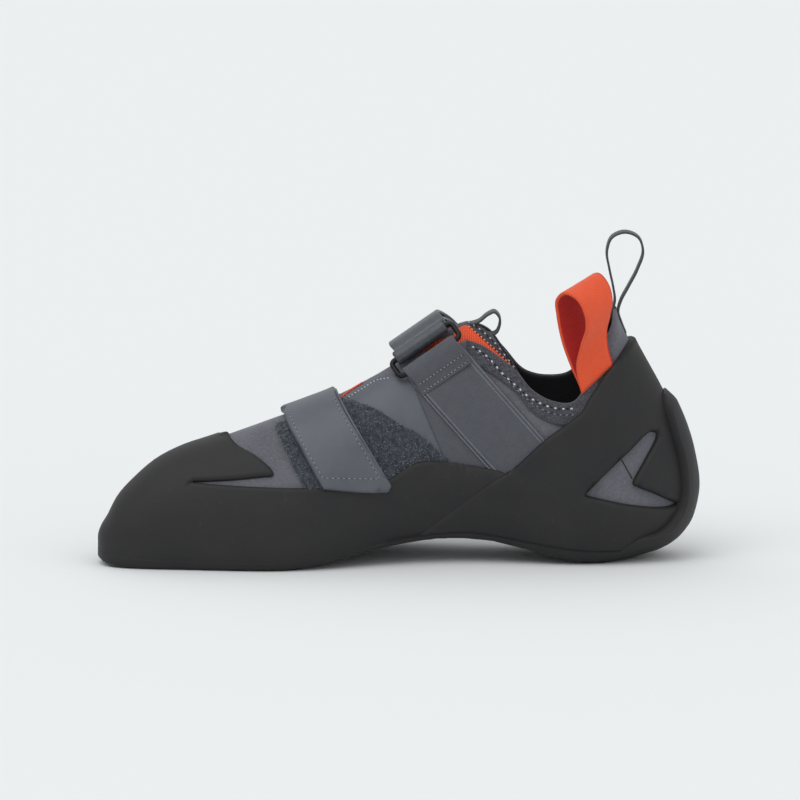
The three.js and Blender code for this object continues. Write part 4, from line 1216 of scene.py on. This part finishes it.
def make_band_fold():
    per_height = RING_HEIGHT / float(np.linalg.norm(RING_CROSSWISE))
    legs = []
    for rows in (FOLD_UNDER, FOLD_TOP):
        legs.append([over(x, RING_TURN + down * per_height, lift * RING_LIFT) for x, down, lift in rows])
    route = [*legs[0], *turn_round(1, WEBBING), *legs[1]]
    wides = [RING_RUN] * len(route)
    piece, (line, wide, thick) = banded("webbing_fold", "webbing", route, wides, STRAP_WIDTH, WEBBING)
    for name, back in (("hem_stitches", 4), ("hem_stitches_low", 12)):
        across = np.linspace(-0.46, 0.46, HEM_POINTS)[:, None] * STRAP_WIDTH * wide[-back]
        outward = thick[-back] * np.sign(np.dot(thick[-back], RING_OUT))
        row = line[-back] + across + outward * (WEBBING / 2 + 0.03)
        up = np.tile(outward, (HEM_POINTS, 1))
        sewn(name, row, up, 1.1, 0.5, 0.7, "webbing", thread="soft_thread")


def make_ring():
    """The ring as a rounded rod round a long loop."""
    reach, rise = (RING_LENGTH - RING_ROD) / 2 - RING_CORNER, (RING_HEIGHT - RING_ROD) / 2 - RING_CORNER
    path = []
    for cx, cy, first in ((1, 1, 0), (-1, 1, 90), (-1, -1, 180), (1, -1, 270)):
        for angle in range(first, first + 91, 15):
            a = math.radians(angle)
            path.append((cx * reach + RING_CORNER * math.cos(a), cy * rise + RING_CORNER * math.sin(a)))
    path = np.array(path)
    middle = RING_POINT + RING_OUT * RING_LIFT + RING_RUN * path[:, :1] - RING_DOWN * path[:, 1:]
    run = unit(np.roll(middle, -1, 0) - np.roll(middle, 1, 0))
    out = np.cross(run, RING_OUT)
    points, sides = [], 12
    for j in range(sides):
        a = 2 * math.pi * j / sides
        points.append(middle + out * (RING_ROD / 2 * math.cos(a)) + RING_OUT * (RING_ROD / 2 * math.sin(a)))
    points = np.stack(points, 1)
    faces = net_faces(len(points), sides, closed=True, around=True)
    piece = build("ring", points.reshape(-1, 3), faces, "plastic")
    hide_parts("strap_ring")


# The loops

def make_pull_tab():
    place = from_side(np.array([[-13.5, 76.0]]), 1)
    anchor = base(place[:, 0], place[:, 1])[0]
    front, back = (fine(anchor + np.array(edge), 7) for edge in (TAB_FRONT, TAB_BACK))
    rows, widths = along_edges(front, back)
    # One side of the tab takes the darker red copy, painted shade, and the other the orange tab weave
    piece = swept("pull_tab", "tab_painted_shade", rows, widths, 1.6, "tab_weave")
    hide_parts("heel_pull_tab")


def flat_loop(name, node, route, x, z, width):
    """A loop of tape that stands in the middle plane of the shoe."""
    line = fine([(x + a, 0, z + b) for a, b in route], 6)
    wide = np.tile([0.0, 1.0, 0.0], (len(line), 1))
    thick = unit(np.cross(unit(np.gradient(line, axis=0)), wide))
    piece = swept(name, "cord", list(zip(line, wide, thick)), width, TAPE)
    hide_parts(node)


def make_tongue():
    inner = from_above(smooth([(-134, -14), (-100, -15), (-80, -17), (-60, -17.5)], 1.5))
    outer = from_above(smooth([(-134, 15), (-100, 21), (-80, 24), (-60, 24)], 1.5))
    top = [(-64, 108.5), (-58, 106.5), (-51.6, 102), (-46, 93), (-41, 84), (-38, 78)]
    tops = [above_part(from_side(smooth(top, EDGE_STEP), side)) for side in (1, -1)]
    crown = np.array([[row_at(-60.5), 0.0]])
    rim = np.vstack([tops[0][::-1], crown, tops[1]])
    loop = joined(inner, tops[0][::-1], crown, tops[1], outer[::-1])

    def swell(_, distance):
        return -0.5 * np.exp(-(distance / 5) ** 2)

    piece = panel("tongue_pad", "knit", [loop], [rim], -4.9, -3.3, 1.6, 2.2, swell, under=-6.4)
    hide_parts("tongue")
    sewn_on("tongue_stitches", side_line(TONGUE_STITCH, 1), -3.1, 0.9, 0.75, 2.4, "knit")


def make_lining():
    plan = [(-121, -12, 1), (-121, -2, 1), (-100, -4.6), (-80, -7), (-66, -9.5, 1), (-66, -19, 1),
            (-100, -18, 1)]
    front = from_above(smooth(plan, 1.0, closed=True)[:-1])
    piece = panel("throat_facing", "orange", [front], [ringed(front)], -3.1, -2.3, 0.5, 2.0)
    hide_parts("throat_lining")
    side_panel("throat_gusset", "orange", GUSSET, -3.2, -2.2, 0.5)
    sewn_on("gusset_stitches", side_line(GUSSET_STITCH, 1), -2.2, 1.0, 0.8, 0.9, "orange",
            thread="orange_thread")
    strip("throat_binding", "orange", side_line(BINDING, 1), 0.3, 1.0, 0.6)


def make_insole():
    across = np.linspace(-1, 1, 25)
    points = []
    for x in section(np.linspace(1.2, LAST - 3, 70))[:, 0]:
        low = at(UNDERSIDE, x) + FOOTBED
        middle, half = half_across(x, low + CUP)
        y = middle + half * across * FOOTBED_SHARE
        points.append(np.column_stack([np.full(len(y), x), y, low + CUP * np.abs(across) ** 3]))
    points = np.array(points)
    faces = [face[::-1] for face in net_faces(*points.shape[:2])]
    piece = build("insole_top", points.reshape(-1, 3), faces, "footbed")
    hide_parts("insole")


make_upper()
make_toe_rand()
make_heel_rand()
make_sole()
side_panel("quarter_panel", "smooth", QUARTER, -0.1, 0.5, 0.5)
sewn_on("quarter_stitches", side_line(QUARTER_STITCH, 1), 0.5, 0.9, 0.5, 0.7, "smooth")
side_panel("loop_pile", "fuzz", LOOP_PATCH, 0.0, GAP + 1.0, 0.8, "loop_patch", 1.6)
make_pile()
side_panel("under_webbing", "webbing", UNDER_BAND, 0.0, GAP + 0.8, 0.5, "under_band")
side_panel("webbing_strap", "webbing", BAND, 0.2, GAP + WEBBING + 0.3, 0.6, "webbing_band", 1.8)
make_front_strap()
make_rear_strap()
make_band_fold()
for number, edge in enumerate(BAND_EDGES):
    name = f"webbing_edge_{number}"
    strip(name, "selvedge", side_line(edge, 1), GAP + WEBBING + 0.28, 0.6, 0.4)
make_ring()
make_pull_tab()
flat_loop("back_loop", "back_pull_loop", BACK_LOOP, 2.2, 110, 8)
flat_loop("tongue_pull", "tongue_loop", TONGUE_LOOP, -52, 104, 9)
make_tongue()
make_lining()
make_insole()
side_panel("collar_knit_inner", "knit", COLLAR_BAND_INNER, 0.0, KNIT, 1.2, "collar_band_inner")
side_panel("collar_knit_outer", "knit", COLLAR_BAND_OUTER, 0.0, KNIT, 1.2, "collar_band_outer",
           side=-1)
sewn_on("collar_stitches", side_line(COLLAR_STITCH, 1), KNIT, 1.1, 0.95, 2.4, "knit")
sewn_on("collar_stitches_low", side_line(COLLAR_STITCH_LOW, 1), KNIT - 0.05, 0.8, 0.6, 1.9, "knit",
        thread="soft_thread")
strip("collar_seam", "suede", side_line(COLLAR_SEAM, 1), 0.05, 1.0, 0.9)
for side, name in ((1, "inner"), (-1, "outer")):
    strip(f"window_seam_{name}", "inside", side_line(WINDOW_SEAM, side), 0.02, 0.5, 0.3)


# Floor, light and camera

def make_floor():
    mesh = bpy.data.meshes.new("floor")
    half = 3.0
    corners = [(-half, -half, 0), (half, -half, 0), (half, half, 0), (-half, half, 0)]
    mesh.from_pydata(corners, [], [(0, 1, 2, 3)])
    floor = bpy.data.objects.new("floor", mesh)
    bpy.context.scene.collection.objects.link(floor)
    shader("floor_paint", srgb(234, 236, 236), 0.9, Specular_IOR_Level=0.1)
    mesh.materials.append(MATERIALS["floor_paint"])


def make_sun(name, azimuth, elevation, strength, softness):
    """A broad soft light from far away, so that it falls evenly over the floor."""
    light = bpy.data.lights.new(name, "SUN")
    light.energy = strength
    light.angle = math.radians(softness)
    piece = bpy.data.objects.new(name, light)
    turn, rise = math.radians(azimuth), math.radians(elevation)
    source = Vector((math.sin(turn) * math.cos(rise), -math.cos(turn) * math.cos(rise), math.sin(rise)))
    piece.rotation_euler = source.to_track_quat("Z", "Y").to_euler()
    bpy.context.scene.collection.objects.link(piece)


def make_camera():
    camera = bpy.data.cameras.new("camera")
    piece = bpy.data.objects.new("camera", camera)
    rise = math.radians(CAMERA_RISE)
    piece.location = Vector(CAMERA_TARGET) + Vector((0, -math.cos(rise), math.sin(rise))) * CAMERA_DISTANCE
    piece.rotation_euler = (math.pi / 2 - rise, 0, 0)
    camera.lens = camera.sensor_width * CAMERA_DISTANCE / VIEW_WIDTH
    camera.clip_end = 50
    bpy.context.scene.collection.objects.link(piece)
    bpy.context.scene.camera = piece


make_floor()
for sun in SUNS:
    make_sun(*sun)
world = bpy.data.worlds.new("studio")
world.use_nodes = True
background = world.node_tree.nodes["Background"]
background.inputs["Color"].default_value = (*srgb(244, 246, 248), 1)
background.inputs["Strength"].default_value = SKY
bpy.context.scene.world = world
bpy.context.scene.view_settings.view_transform = "Standard"
make_camera()
